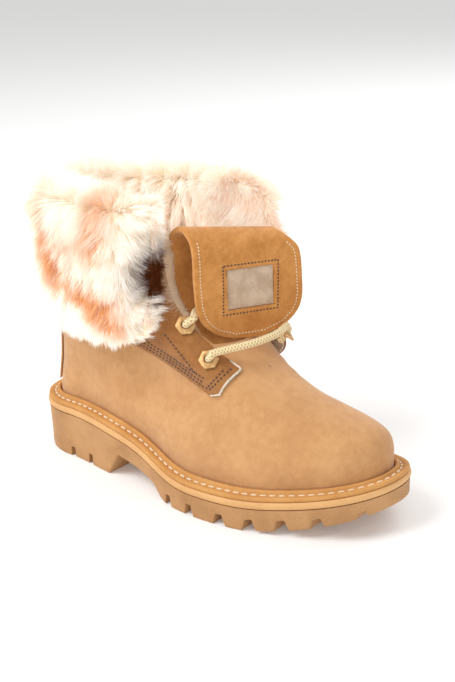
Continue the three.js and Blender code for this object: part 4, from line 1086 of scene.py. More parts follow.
# %% Make the heel strip
STRIP_HALF = 0.2 * HEEL_WIDTH
STRIP_RISE = np.linspace(0.075, 0.655, 90)


def strip_turns(side):
    """The turn of the strip's edge at each rise, found where the face is half a strip from the middle."""
    probe = np.linspace(0, 0.24, 200)
    reach = side * upper_face(side * probe[None], STRIP_RISE[:, None])[..., 1]
    return side * np.array([np.interp(STRIP_HALF, row, probe) for row in reach])


strip_edges = {side: strip_turns(side) for side in (OUTER, INNER)}
strip_turn = mix(strip_edges[OUTER][:, None], strip_edges[INNER][:, None], np.linspace(0, 1, 40))
strip_rise = np.broadcast_to(STRIP_RISE[:, None], strip_turn.shape)
over = off_face(strip_turn, strip_rise, OVERLAY_GAP + COUNTER_THICKNESS)
under = off_face(strip_turn, strip_rise, OVERLAY_GAP)
put("heel_strip_nubuck", *slab(over, under, 0.4), strip_leather, "nubuck", ["heel_counter"], sharp=60)

# %% [markdown]
# ## Eyelets
# Each eyelet is a six-sided metal plate with a rolled rim round its hole. It is one profile turned round
# the hole: near the hole its radius is round, and at the edge it is that of a hexagon.

# %% Make the eyelets
EYELETS = {
    "eyelet_outer_low": (OUTER, 0.58, 0.405),
    "eyelet_outer_high": (OUTER, 0.507, 0.53),
    "eyelet_inner_low": (INNER, 0.62, 0.385),
    "eyelet_inner_high": (INNER, 0.515, 0.52),
}


def eyelet_seat(side, share, height):
    """Centre on the quarter's face, and the plate's three directions as rows: aside, ahead and outward."""
    turn, rise = face_at(x_at(share), up_at(height), side)

    def face(t, r):
        return off_face(t, r, OVERLAY_GAP + OVERLAY_THICKNESS + flap_lift(t, r))

    centre = face(turn, rise)
    across = face(turn + 0.01, rise) - face(turn - 0.01, rise)
    upward = face(turn, rise + 0.01) - face(turn, rise - 0.01)
    normal = unit(np.cross(upward, across))
    aside = unit(np.cross([1.0, 0, 0], normal))
    return centre, np.array([aside, np.cross(normal, aside), normal])


# The plate's profile: share of the way from the hole to the edge, distance added to that radius, and height.
EYELET_PROFILE = table(
    "edge out high",
    (0, 0.0, 0.8),
    (1, -0.1, 0.8),
    (1, 0.0, 1.0),
    (1, 0.0, 1.6),
    (1, -0.15, 1.9),
    (1, -0.5, 2.03),
    (0, 1.75, 2.05),
    (0, 1.45, 2.25),
    (0, 1.15, 2.6),
    (0, 0.7, 2.78),
    (0, 0.25, 2.65),
    (0, 0.0, 2.3),
    (0, -0.05, 1.6),
)


def eyelet(centre, directions):
    """Radius at each angle: round at the hole and six-sided at the edge, by the distance over a cosine."""
    angle = 2 * np.pi * np.arange(72) / 72
    six = np.minimum(1 / np.cos((angle % (np.pi / 3)) - np.pi / 6), 1.11) * EYELET_WIDTH / 2
    edge, out, high = (EYELET_PROFILE[k][:, None] for k in ("edge", "out", "high"))
    radius = mix(EYELET_HOLE / 2, six[None], edge) + out
    high = np.broadcast_to(high, radius.shape)
    local = np.stack([radius * np.cos(angle), radius * np.sin(angle), high], -1)
    return centre + local.reshape(-1, 3) @ directions, ring_faces(*radius.shape)


def eyelet_metal():
    """Painted metal, rubbed paler and duller in small spots."""
    finish = Finish("eyelet_metal", metallic=0.55, specular_ior_level=0.5)
    rub = finish.noise(2.2, 4, 0.65)
    base = finish.blend(finish.ramp(rub, 0.4, 0.7), colour(196, 150, 92), colour(226, 190, 136))
    finish.bump(rub, 0.15, 0.2)
    return finish.wear(base_color=base, roughness=0.36 + rub * 0.25)


metal = eyelet_metal()
seats = {name: eyelet_seat(*spec) for name, spec in EYELETS.items()}
for name, seat in seats.items():
    put(name + "_metal", *eyelet(*seat), metal, "eyelet", [name], sharp=50)

# %% [markdown]
# ## Laces
# A round braided cord goes up through one eyelet, over the instep and down through the other. Its path is
# a smooth curve through a few points. The braid is drawn by the material, which knows how far along the
# cord and how far round it each point lies.

# %% Make the laces
LOW_BAR = table("at ahead rise", (0.35, 2.4, 0.95), (0.62, 2.5, 1.1), (0.85, 1.2, 1.1))
HIGH_BAR = table("at ahead rise", (0.18, -0.4, 0.9), (0.4, 0.0, 1.1), (0.7, 0.5, 1.1))


def smooth_path(points, steps):
    """Catmull-Rom curve through points: each stretch is a cubic with slopes half the step past each end."""
    padded = np.concatenate([[2 * points[0] - points[1]], points, [2 * points[-1] - points[-2]]])
    t = np.linspace(0, 1, steps, endpoint=False)[:, None]
    pieces = []
    for a, b, c, d in zip(padded[:-3], padded[1:-2], padded[2:-1], padded[3:]):
        cubic = 2 * b + (c - a) * t + (2 * a - 5 * b + 4 * c - d) * t**2 + (3 * b - a - 3 * c + d) * t**3
        pieces.append(cubic / 2)
    return np.concatenate([*pieces, points[-1:]])


def tube(path, radius, sides=20):
    """Circles across a path, turned so that none twists against the one before, with a flat face at both
    ends. Each point also gets its run along the path and its angle round it."""
    ahead = unit(np.gradient(path, axis=0))
    side = [unit(np.cross(ahead[0], [0.0, 0, 1.0]))]
    for direction in ahead[1:]:
        kept = side[-1] - direction * np.dot(side[-1], direction)
        side.append(unit(kept))
    side = np.array(side)
    other = np.cross(ahead, side)
    angle = 2 * np.pi * np.arange(sides) / sides
    ring = side[:, None] * np.cos(angle)[None, :, None] + other[:, None] * np.sin(angle)[None, :, None]
    points = path[:, None] + radius * ring
    run = np.concatenate([[0], np.cumsum(np.linalg.norm(np.diff(path, axis=0), axis=1))])
    values = {"run": np.repeat(run, sides), "round": np.tile(angle, len(path))}
    first = np.arange(sides)[None, ::-1]
    last = (len(path) - 1) * sides + np.arange(sides)[None]
    return points, [grid_faces(len(path), sides, wrap=True), first, last], values


def lace_path(start, end, rows):
    """Up through the first eyelet, over the instep by the table's shares, and down through the second."""
    over = EYELET_SEAT + EYELET_THICKNESS + LACE / 2 + 3 * GAP
    (centre_a, way_a), (centre_b, way_b) = start, end
    first, last = centre_a + way_a[2] * over, centre_b + way_b[2] * over
    middle = mix(first, last, rows["at"][:, None])
    middle[:, 0] += rows["ahead"] * LACE
    middle[:, 2] += rows["rise"] * LACE

    def through(centre, way, near, towards):
        """From behind the leather, through the hole and over the rim to the plate's edge."""
        flat = towards - near
        flat = unit(flat - way[2] * np.dot(flat, way[2]))
        return [
            centre - way[2] * 5.5 - flat * 0.8,
            centre - way[2] * 1.5,
            centre + way[2] * 1.8 + flat * 0.2,
            centre + way[2] * (over - 0.9) + flat * 2.2,
            near + flat * 0.5 * EYELET_WIDTH,
        ]

    begin = through(centre_a, way_a, first, last)
    finish = through(centre_b, way_b, last, first)[::-1]
    return smooth_path(np.array([*begin, *middle, *finish]), 16)


def braided_cord():
    """Two sets of strands that wind opposite ways: the greater of two sines of run plus and minus turn."""
    finish = Finish("lace_cord", roughness=0.8, sheen_weight=0.2, sheen_roughness=0.5)
    run, turned = finish.attribute("run") * 3.0, finish.attribute("round") * 4.0
    left = finish.node("ShaderNodeMath", {"operation": "SINE"}, {0: run + turned})
    other = finish.node("ShaderNodeMath", {"operation": "SINE"}, {0: run - turned})
    braid = finish.node("ShaderNodeMath", {"operation": "MAXIMUM"}, {0: left, 1: other})
    tone = finish.ramp(braid, -0.5, 0.8)
    fuzz = finish.noise(0.5, 2, 0.6)
    base = finish.blend(tone * 0.75 + fuzz * 0.25, colour(186, 146, 92), colour(247, 228, 180))
    finish.bump(tone + fuzz * 0.4, 0.7, 0.35)
    return finish.wear(base_color=base)


cord = braided_cord()
for name, low, high, rows in (
    ("lace_low", "eyelet_outer_low", "eyelet_inner_low", LOW_BAR),
    ("lace_high", "eyelet_outer_high", "eyelet_inner_high", HIGH_BAR),
):
    points, faces, values = tube(lace_path(seats[low], seats[high], rows), LACE / 2)
    put(name + "_cord", points, faces, cord, "lace", [name], weld=False, values=values)

# %% [markdown]
# A line of the wool inside shows along the lower part of the outer quarter's front edge. It is a thin cord
# laid along that edge.

# %% Make the wool that shows at the quarter's edge
edge_turn, edge_rise = (grid[:, -1] for grid in quarters["quarter_outer"][:2])
low_edge = shaft_share(upper_face(edge_turn, edge_rise)[:, 2]) < 0.4
edge_path = off_face(edge_turn[low_edge], edge_rise[low_edge], OVERLAY_GAP + 0.9) + [0.5, 0, 0]
points, faces, _ = tube(edge_path, 0.8)
put("edge_wool", points, faces, fleece, "fleece", weld=False)

# %% [markdown]
# ## The tongue
# The tongue rises out of the throat, folds forward and hangs as a flap with a rounded end and a sewn
# window. It is a strip: a middle line with a half width to each side. The grid's lines across the flap
# keep fixed distances from its middle, so that the window's edges run along them and its recess is cut
# clean.

# %% The tongue's function
TONGUE = table(
    "at ahead aside up twist outer inner crown",
    (0.0, 0.628, 0.02, 0.365, 0.0, 0.14, 0.14, 0.08),
    (0.06, 0.588, 0.03, 0.405, 0.0, 0.15, 0.14, 0.08),
    (0.13, 0.54, 0.06, 0.46, 0.1, 0.2, 0.17, 0.05),
    (0.21, 0.507, 0.1, 0.55, 0.35, 0.26, 0.17, 0.02),
    (0.32, 0.497, 0.15, 0.7, 0.9, 0.36, 0.3, 0.0),
    (0.43, 0.505, 0.2, 0.84, 1.0, 0.42, 0.36, 0.0),
    (0.49, 0.52, 0.21, 0.895, 1.0, 0.46, 0.32, 0.0),
    (0.55, 0.56, 0.18, 0.925, 1.0, 0.47, 0.28, 0.0),
    (0.61, 0.592, 0.14, 0.895, 1.0, 0.46, 0.33, 0.0),
    (0.68, 0.6, 0.13, 0.84, 1.0, 0.455, 0.4, 0.0),
    (0.77, 0.6, 0.13, 0.72, 1.0, 0.455, 0.425, 0.0),
    (0.87, 0.597, 0.13, 0.58, 1.0, 0.42, 0.42, 0.0),
    (0.95, 0.595, 0.13, 0.495, 1.0, 0.3, 0.3, 0.0),
    (1.0, 0.594, 0.13, 0.455, 1.0, 0.12, 0.12, 0.0),
)
WINDOW_AT = 0.795
WINDOW = np.array([32.0, 27.0])
WINDOW_DEPTH = 1.5


def tongue_point(s, w):
    """Middle line plus a reach across it, turned by the twist, drooping at the fold's inner side."""
    angle = np.radians(TONGUE_TWIST * along(TONGUE, "twist", s))
    reach = w * np.where(w < 0, along(TONGUE, "outer", s), along(TONGUE, "inner", s)) * TONGUE_WIDTH
    droop = FOLD_DROOP * reach * np.exp(-(((s - 0.55) / 0.1) ** 2))
    x = x_at(along(TONGUE, "ahead", s)) + reach * np.sin(angle)
    y = along(TONGUE, "aside", s) * TONGUE_WIDTH + reach * np.cos(angle)
    z = up_at(along(TONGUE, "up", s)) - along(TONGUE, "crown", s) * TONGUE_WIDTH * w * w - droop
    return np.stack(np.broadcast_arrays(x, y, z), -1)


def tongue_normal(s, w):
    """The strip's normal, which points forward on the flap."""
    step = 1e-3
    lengthwise = tongue_point(np.minimum(s + step, 1), w) - tongue_point(np.maximum(s - step, 0), w)
    across = tongue_point(s, np.minimum(w + 0.01, 1)) - tongue_point(s, np.maximum(w - 0.01, -1))
    return unit(np.cross(lengthwise, across))


window_centre = tongue_point(np.array(WINDOW_AT), np.array(0.0))
window_out = tongue_normal(np.array(WINDOW_AT), np.array(0.0))
window_across = unit(np.cross([0, 0, 1.0], window_out))
window_up = np.cross(window_out, window_across)


def flap_place(across, height):
    """Strip coordinates of a place on the flap, given in millimetres from the window's middle."""
    s = np.linspace(0.6, 1, 400)
    heights = (tongue_point(s, 0.0) - window_centre) @ window_up
    s_here = np.interp(-height, -heights, s)
    side = np.where(across < 0, along(TONGUE, "outer", s_here), along(TONGUE, "inner", s_here))
    return s_here, across / (side * TONGUE_WIDTH)


# %% [markdown]
# The strip becomes a closed slab. Inside the window its front face is set back, which makes the recess, and
# rows and columns close together on both sides keep the recess's walls steep.

# %% Make the tongue
WINDOW_STEP = 0.12  # half the width over which the face drops into the window


def tongue_grid():
    """Rows close together at the window's top and bottom, columns at fixed distances beside it."""
    half = WINDOW / 2
    steps = np.array([half[1] + WINDOW_STEP, half[1] - WINDOW_STEP])
    edges = flap_place(np.zeros(4), np.concatenate([steps, -steps]))[0]
    s = np.unique(np.concatenate([np.linspace(0, 1, 150), 1 - 0.03 * np.linspace(0, 1, 12) ** 2, edges]))
    steps = np.array([half[0] + WINDOW_STEP, half[0] - WINDOW_STEP])
    columns = np.sort(np.concatenate([steps, -steps, np.linspace(-half[0] + 1, half[0] - 1, 26)]))
    out_reach = along(TONGUE, "outer", s)[:, None] * TONGUE_WIDTH
    in_reach = along(TONGUE, "inner", s)[:, None] * TONGUE_WIDTH
    middle = columns * np.minimum(1, np.minimum(out_reach, in_reach) / (half[0] + 3))
    margin = 1 - (1 - np.linspace(0, 1, 12)[1:]) ** 1.4
    left, right_side = mix(middle[:, :1], -out_reach, margin[::-1]), mix(middle[:, -1:], in_reach, margin)
    reach = np.concatenate([left, middle, right_side], 1)
    w = np.where(reach < 0, reach / out_reach, reach / in_reach)
    return np.broadcast_to(s[:, None], w.shape), np.clip(w, -1, 1)


def tongue_faces():
    """The strip's front, set back inside the window, and its back."""
    s, w = tongue_grid()
    middle, normal = tongue_point(s, w), tongue_normal(s, w)
    beside = np.abs((middle - window_centre) @ window_across) - WINDOW[0] / 2
    above = np.abs((middle - window_centre) @ window_up) - WINDOW[1] / 2
    in_window = (np.maximum(beside, above) < 0) & (s > 0.62)
    front_out = TONGUE_THICKNESS / 2 - WINDOW_DEPTH * in_window
    return middle + normal * front_out[..., None], middle - normal * TONGUE_THICKNESS / 2


put("tongue_leather", *slab(*tongue_faces(), 0.9), tongue_leather, "tongue_leather", ["tongue"], sharp=48)

# %% [markdown]
# ## The patch in the window
# A piece of woven felt is sewn in behind the window. It is a cushion on a plane: flat in its middle,
# rounded down at the edges by a high power, with the weave as a product of two sines.

# %% Make the patch
def felt_patch():
    """Grey-beige clouds, with the fine noise of the threads as relief."""
    finish = Finish("patch_felt", roughness=0.93, sheen_weight=0.25)
    threads, clouds = finish.noise(0.9, 2, 0.6), finish.noise(9, 3, 0.6)
    tone = finish.ramp(clouds * 0.7 + threads * 0.3, 0.36, 0.66)
    base = finish.blend(tone, colour(184, 158, 132), colour(206, 182, 156))
    finish.bump(threads + clouds * 0.5, 0.6, 0.3)
    return finish.wear(base_color=base)


def patch_faces():
    """Top and under side of the patch, in the window's own directions."""
    u, v = np.meshgrid(np.linspace(-1, 1, 48), np.linspace(-1, 1, 40), indexing="ij")
    half = WINDOW / 2 - GAP
    under = window_centre + window_out * (TONGUE_THICKNESS / 2 - WINDOW_DEPTH + GAP)
    under = under + u[..., None] * half[0] * window_across + v[..., None] * half[1] * window_up
    cushion = np.maximum(0.9 * (1 - np.maximum(np.abs(u), np.abs(v)) ** 10), 0.05)
    weave = 0.06 * np.sin(u * half[0] * 3.4) * np.sin(v * half[1] * 3.4)
    return under + window_out * (cushion + weave)[..., None], under


put("patch_felt", *slab(*patch_faces(), 0.0), felt_patch(), "patch_felt", ["tongue_patch"], sharp=50)

# %% [markdown]
# ## The sewing
# Dark double and triple rows hold the quarters, a dark row frames the window, and a pale row runs round
# the flap. Each row is a line on a surface: a few places are given, and the surface's own function lifts
# them.

# %% Sew the rows
def quarter_line(side, shares, heights, count=160, out=0.15):
    """A line on a quarter, smooth through places given by share along the sole and share of the shaft."""
    t = np.linspace(0, 1, count)
    knots = np.linspace(0, 1, len(shares))
    rows = {"at": knots, "x": x_at(np.array(shares)), "z": up_at(np.array(heights))}
    turn, rise = face_at(along(rows, "x", t), along(rows, "z", t), side)
    lift = OVERLAY_GAP + OVERLAY_THICKNESS + out + flap_lift(turn, rise)
    return off_face(turn, rise, lift), face_normal(turn, rise)


def lower_rows(side):
    """Three rows over each other along the quarter's lower edge."""
    shares = np.array([0.22, 0.3, 0.39, 0.46, 0.53, 0.585])
    edge = along(QUARTER_EDGE, "up", shares)
    return [quarter_line(side, shares - 0.004 * k, edge + 0.022 + 0.0225 * k) for k in range(3)]


def front_rows(side):
    """Two rows beside each other along the quarter's front edge."""
    return [
        quarter_line(side, [0.594 - d, 0.608 - d, 0.62 - d, 0.627 - d], [0.29, 0.315, 0.345, 0.37])
        for d in (0.0, 0.011)
    ]


dark_rows = []
for side in (OUTER, INNER):
    dark_rows += lower_rows(side)
    dark_rows.append(quarter_line(side, [0.47, 0.5, 0.53, 0.558], [0.5, 0.45, 0.4, 0.35]))
dark_rows += front_rows(OUTER)
sew("quarter_stitches", dark_rows, 2.8, 1.8, 1.3, 0.9, dark_thread, "nubuck")


def flap_line(across, heights, out=0.12):
    """A line on the flap, through places in millimetres from the window's middle."""
    s, w = flap_place(np.array(across, float), np.array(heights, float))
    return tongue_point(s, w) + tongue_normal(s, w) * (TONGUE_THICKNESS / 2 + out), tongue_normal(s, w)


def window_frame(margin):
    """Once round a rectangle with a margin about the window."""
    a, b = WINDOW / 2 + margin
    t = np.linspace(0, 1, 40, endpoint=False)
    across = np.concatenate([mix(-a, a, t), np.full(40, a), mix(a, -a, t), np.full(40, -a), [-a]])
    heights = np.concatenate([np.full(40, b), mix(b, -b, t), np.full(40, -b), mix(-b, b, t), [b]])
    return flap_line(across, heights)


def flap_border(margin):
    """The flap's own outline from one end of the fold round to the other, drawn in by a margin along its
    normals, which are evened out over 25 places."""
    s = np.linspace(0.62, 1, 160)
    heights = (tongue_point(s, 0.0) - window_centre) @ window_up
    left = np.stack([-along(TONGUE, "outer", s) * TONGUE_WIDTH, heights], -1)
    right_side = np.stack([along(TONGUE, "inner", s) * TONGUE_WIDTH, heights], -1)[::-1]
    outline = np.concatenate([left, right_side])
    run = unit(np.gradient(outline, axis=0))
    inward = np.pad(np.stack([-run[:, 1], run[:, 0]], -1), ((12, 12), (0, 0)), mode="edge")
    inward = np.stack([np.convolve(inward[:, k], np.ones(25) / 25, "valid") for k in range(2)], -1)
    return flap_line(*(outline + unit(inward) * margin).T)


sew("window_stitches", [window_frame(2.7)], 2.3, 1.5, 1.1, 0.7, dark_thread, "tongue_leather")
sew("flap_stitches", [flap_border(3.4)], 2.2, 1.4, 0.7, 0.5, pale_thread, "tongue_leather")


def strip_row(side):
    """A line a little inside the strip's edge, and a little shorter."""
    turn, rise = 0.86 * strip_edges[side], np.linspace(0.085, 0.64, len(STRIP_RISE))
    return off_face(turn, rise, OVERLAY_GAP + COUNTER_THICKNESS + 0.12), face_normal(turn, rise)


sew("strip_stitches", [strip_row(OUTER), strip_row(INNER)], 2.2, 1.5, 0.75, 0.6, dark_thread, "nubuck")

# %% [markdown]
# ## The fur cuff
# The folded shaft is a hooked section carried round the leg: a long leg outside, a roll over the top and a
# short leg inside. Its place is named by how far round the leg it lies, from the outer end to the inner,
# and how far along the hook. Under the hair lies a soft skin, which is the same form a little thinner.

# %% The cuff's function
CUFF_ENDS = table("at outer inner", (0.0, 0.43, 0.45), (0.5, 0.432, 0.465), (1.0, 0.43, 0.46))
CUFF_CLEAR = 2.5
FRONT_SWELL = table("at outer inner", (0.0, 0.5, 2.7), (0.45, 0.5, 2.4), (0.8, 0.8, 0.7), (1.0, 0.4, 0.2))
ROLL = table("at height", (-1, 0.8), (-0.6, 0.95), (-0.2, 1.15), (0.3, 1.4), (0.65, 1.3), (1, 0.9))
CUFF_HEM = table(
    "at up",
    (-1, 0.47),
    (-0.8, 0.43),
    (-0.55, 0.45),
    (-0.25, 0.5),
    (0, 0.56),
    (0.4, 0.5),
    (0.8, 0.45),
    (1, 0.5),
)
LOBES = table(
    "round down wide tall swell",
    (-0.92, 0.45, 0.16, 0.45, 0.35),
    (-0.35, 0.86, 0.28, 0.18, 0.45),
    (-0.62, 0.42, 0.1, 0.3, -0.35),
    (-0.3, 0.5, 0.2, 0.12, -0.3),
    (0.1, 0.4, 0.25, 0.3, 0.2),
    (0.5, 0.8, 0.25, 0.25, 0.3),
    (0.92, 0.3, 0.2, 0.4, 0.65),
    (0.0, 0.4, 0.3, 0.6, -0.2),
)
CUFF_OVER = OVERLAY_GAP + OVERLAY_THICKNESS + CUFF_CLEAR
CUFF_INSIDE = 4 * GAP
INNER_LEG = 0.3
HEM_ROUND = 0.3
END_THICKNESS = 0.25
LEG_SHARE, ROLL_SHARE = 0.55, 0.75  # where the outer leg and the roll end, along the hook
CROWN = (LEG_SHARE + ROLL_SHARE) / 2


def cuff_turn(s, rise):
    """The turn of a place round the cuff: x runs from the back to the end by 1 - cos of a quarter turn."""
    down = np.clip((1 - rise) / 0.6, 0, 1)
    end = np.where(s < 0, along(CUFF_ENDS, "outer", down), along(CUFF_ENDS, "inner", down))
    back, _ = ring_ends(rise)
    x = mix(back, x_at(end), 1 - np.cos(np.pi / 2 * np.abs(s)))
    return turn_at(x, np.where(s < 0, OUTER, INNER), rise)


def hem_rises(samples=241):
    """The ring at which the hem lies, for many places round the leg."""
    s = np.linspace(-1, 1, samples)
    height = up_at(along(CUFF_HEM, "up", s))

    def is_under(rise):
        return upper_face(cuff_turn(s, rise), rise)[..., 2] < height

    return s, halved(is_under, np.full(samples, 0.2), np.ones(samples), 24)


hem_places, hem_values = hem_rises()


def fur_depth(s, down):
    """Thickness of the fur: its depth times 1 plus a bell for each lobe, thinner at the ends and the hem."""
    share = 1 + sum(
        swell * np.exp(-(((s - at) / wide) ** 2) - ((down - low) / tall) ** 2)
        for at, low, wide, tall, swell in zip(*LOBES.values())
    )
    ends = rounded((1.02 - np.abs(s)) * SHAFT_WIDTH, FUR_DEPTH * 0.8)
    return FUR_DEPTH * share * mix(END_THICKNESS, 1, ends) * rounded(1.04 - down, HEM_ROUND)


def swell_ahead(s, down):
    """How far the fur swells forward near the cuff's two ends."""
    column = np.where(s < 0, along(FRONT_SWELL, "outer", down), along(FRONT_SWELL, "inner", down))
    return FUR_DEPTH * smooth((np.abs(s) - 0.7) / 0.3) * column


def roll_face(s, hook, depth):
    """A rounded arch over the leather's top edge: far times the cosine aside, high times the sine up."""
    angle = np.pi * np.clip((hook - LEG_SHARE) / (ROLL_SHARE - LEG_SHARE), 0, 1)
    cosine, sine = np.cos(angle), np.sin(angle)
    turn, top = cuff_turn(s, np.ones_like(s)), np.zeros_like(s)
    middle = off_face(turn, 1.0, -WALL / 2)
    outward = unit(face_normal(turn, 1.0) * [1.0, 1.0, 0.0])
    out_far = CUFF_OVER + WALL / 2 + fur_depth(s, top) * depth
    in_far = CUFF_INSIDE + WALL / 2 + FUR_LINING * depth
    high = ROLL_HEIGHT * along(ROLL, "height", s) * sine**0.7
    roll = middle + outward * (np.where(cosine > 0, out_far, in_far) * cosine)[..., None]
    roll[..., 2] = middle[..., 2] + mix(2 * GAP + WALL * sine, high, depth)
    roll[..., 0] += swell_ahead(s, top) * np.maximum(cosine, 0) * depth
    return roll


def fur_face(s, hook, depth):
    """A place in the fur: s round the leg, hook from the hem over the roll to the inner edge, and depth."""
    s, hook, depth = np.broadcast_arrays(*(np.asarray(v, float) for v in (s, hook, depth)))
    down = np.clip(1 - hook / LEG_SHARE, 0, 1)
    rise = mix(1, np.interp(s, hem_places, hem_values), down)
    turn = cuff_turn(s, rise)
    outer_leg = off_face(turn, rise, CUFF_OVER + flap_lift(turn, rise) + fur_depth(s, down) * depth)
    outer_leg[..., 0] += swell_ahead(s, down) * depth
    down = np.clip((hook - ROLL_SHARE) / (1 - ROLL_SHARE), 0, 1)
    rise = 1 - INNER_LEG * down
    thick = FUR_LINING * mix(1, 0.5, down) * depth
    inner_leg = off_face(cuff_turn(s, rise), rise, -WALL - CUFF_INSIDE - thick)
    over = np.where(hook[..., None] < ROLL_SHARE, roll_face(s, hook, depth), inner_leg)
    return np.where(hook[..., None] < LEG_SHARE, outer_leg, over)


print("hem between the rises", round(hem_values.min(), 3), "and", round(hem_values.max(), 3))

# %% [markdown]
# ## Hair
# Fur is thousands of thin blades. Each one is a narrow strip that tapers to a point and bends over.
# Neighbours lean together into locks, which is what makes fur look soft and not like grass. So each blade
# finds its lock by the cell it stands in, and its tip moves most of the way to the tip of that lock.

# %% Blades and locks
LOCK_TABLE = 97
lock_random = np.random.default_rng(7).random((LOCK_TABLE, LOCK_TABLE, 8))
BLADE_STAGES = np.array([0.0, 0.38, 0.74, 1.0])
BLADE_WIDTHS = np.array([1.0, 0.85, 0.5, 0.0])


def lock_of(places, size):
    """The cell each place stands in, its random numbers, and the place of its lock's middle."""
    warped = places / size + 0.35 * np.sin(places[:, ::-1] / size * 1.7 + 0.6)
    cell = np.floor(warped).astype(int)
    numbers = lock_random[cell[:, 0] % LOCK_TABLE, cell[:, 1] % LOCK_TABLE]
    offset = (cell + 0.5 + 0.5 * (numbers[:, :2] - 0.5) - warped) * size
    return numbers, offset


def blades(frames, locks, length, width, stand, gather, droop, **values):
    """Strips of two points at each stage and one at the tip, along a curve that bends to its lock's tip.

    frames holds the roots, and at each the normal, the direction the hair lies in and the one aside. The
    curve is root + length * (t * first direction + t^2 * fall), and its tip moves by a share of the way to
    the lock's tip, growing as t to the power 1.5."""
    (roots, normals, lie, sideways), (numbers, offset) = frames, locks
    count = len(roots)
    jitter = random.normal(0, 1, (count, 3))
    stand = (stand + 0.1 * jitter[:, 0] + 0.22 * (numbers[:, 2] - 0.5))[:, None]
    drift = (numbers[:, 3] - 0.5)[:, None] * 1.1 + 0.16 * jitter[:, 1:2]
    first = unit(normals * stand + lie * (1 - np.abs(stand)) + sideways * drift)
    length = length * (0.7 + 0.35 * random.random(count) + 0.25 * numbers[:, 4])
    t = BLADE_STAGES[None, :, None]
    wave = np.sin(t * 4.2 + 6.28 * numbers[:, 5][:, None, None]) * (numbers[:, 6] - 0.2)[:, None, None]
    curve = roots[:, None] + length[:, None, None] * (
        t * first[:, None] + t**2 * (lie * droop)[:, None] + 0.09 * wave * t * sideways[:, None]
    )
    to_lock = offset[:, :1] * sideways + offset[:, 1:] * lie
    curve = curve + gather * to_lock[:, None] * t**1.5
    spin = random.random(count) * 2.2 - 1.1
    across = sideways * np.cos(spin)[:, None] + normals * np.sin(spin)[:, None]
    half = (width / 2 * (0.7 + 0.6 * random.random(count)))[:, None, None] * BLADE_WIDTHS[None, :, None]
    left, right_side = curve - across[:, None] * half, curve + across[:, None] * half
    strip = np.stack([left[:, :-1], right_side[:, :-1]], 2).reshape(count, -1, 3)
    points = np.concatenate([strip, curve[:, -1:]], 1)
    per = points.shape[1]
    start = (np.arange(count) * per)[:, None, None]
    squares = np.array([[0, 1, 3, 2], [2, 3, 5, 4]])[None] + start
    tips = np.array([[4, 5, 6]])[None] + start
    kept = {"tip": np.tile(np.repeat(BLADE_STAGES, 2)[:per], count)}
    for key, shares in values.items():
        kept[key] = np.repeat(shares, per)
    kept["strand"] = np.repeat(random.random(count), per)
    return points.reshape(-1, 3), [squares.reshape(-1, 4), tips.reshape(-1, 3)], kept


print("locks of", LOCK_TABLE, "by", LOCK_TABLE, "cells, blades with", len(BLADE_STAGES), "stages")

# %% [markdown]
# ## The fur's finishes
# White fur has no dark side, because light passes through the hair. A hair's material here is opaque, so
# it gives off a little of its own colour instead, as painted light. That runs from the root's colour to the
# tip's, and then towards the streaks' and the hollow's. The hollow's dark is partly brown fur and partly
# painted shade.

# %% Fur finishes
# THROUGH_LIGHT is the strength of the fur's glow: painted light in place of light through the hair.
THROUGH_LIGHT = 0.16


def fur_finish(name, root, tip, streak, dark):
    """Four colours, mixed by the hair's own tip, streak and dark values."""
    finish = Finish(name, roughness=0.85, specular_ior_level=0.04, emission_strength=THROUGH_LIGHT)
    strand = finish.attribute("strand")
    base = finish.blend(finish.ramp(finish.attribute("tip") + strand * 0.3, 0.0, 0.85), root, tip)
    base = finish.blend(finish.attribute("streak") * (strand * 0.5 + 0.6), base, streak)
    # The dark value mixes in the hollow's brown fur and its painted shade.
    base = finish.blend(finish.attribute("dark"), base, dark)
    return finish.wear(base_color=base, emission_color=base)


def skin_finish():
    """Short curls under the hair, darkened near the hollow by the dark value: brown fur and painted shade.
    """
    finish = Finish("fur_skin", roughness=0.95)
    curls = finish.noise(3.0, 4, 0.7)
    # As in the fleece, the curls' hollows are painted shade and their tops painted light.
    base = finish.blend(finish.ramp(curls, 0.3, 0.7), colour(214, 196, 170), colour(246, 238, 226))
    finish.bump(curls, 0.9, 1.5)
    return finish.wear(base_color=finish.blend(finish.attribute("dark"), base, colour(66, 32, 14)))


WHITE, CREAM = colour(255, 250, 242), colour(246, 230, 206)
long_fur = fur_finish("fur", CREAM, WHITE, colour(228, 160, 90), colour(88, 44, 20))
FELTED, SHORN = colour(176, 150, 120), colour(232, 216, 194)
short_fur = fur_finish("fur_short", FELTED, SHORN, colour(206, 150, 96), colour(70, 44, 28))
skin = skin_finish()
print("fur finishes made")

# %% [markdown]
# ## Where the fur is brown, and the hollow's shade
# The fur has brown streaks: a line of brown runs slanting down the outer side, and fainter ones lie
# elsewhere. Each streak is a bell in two directions with its own place, widths and depth. Between the
# cuff's near end and the tongue is a dark hollow: partly dark brown fur and partly painted shade.

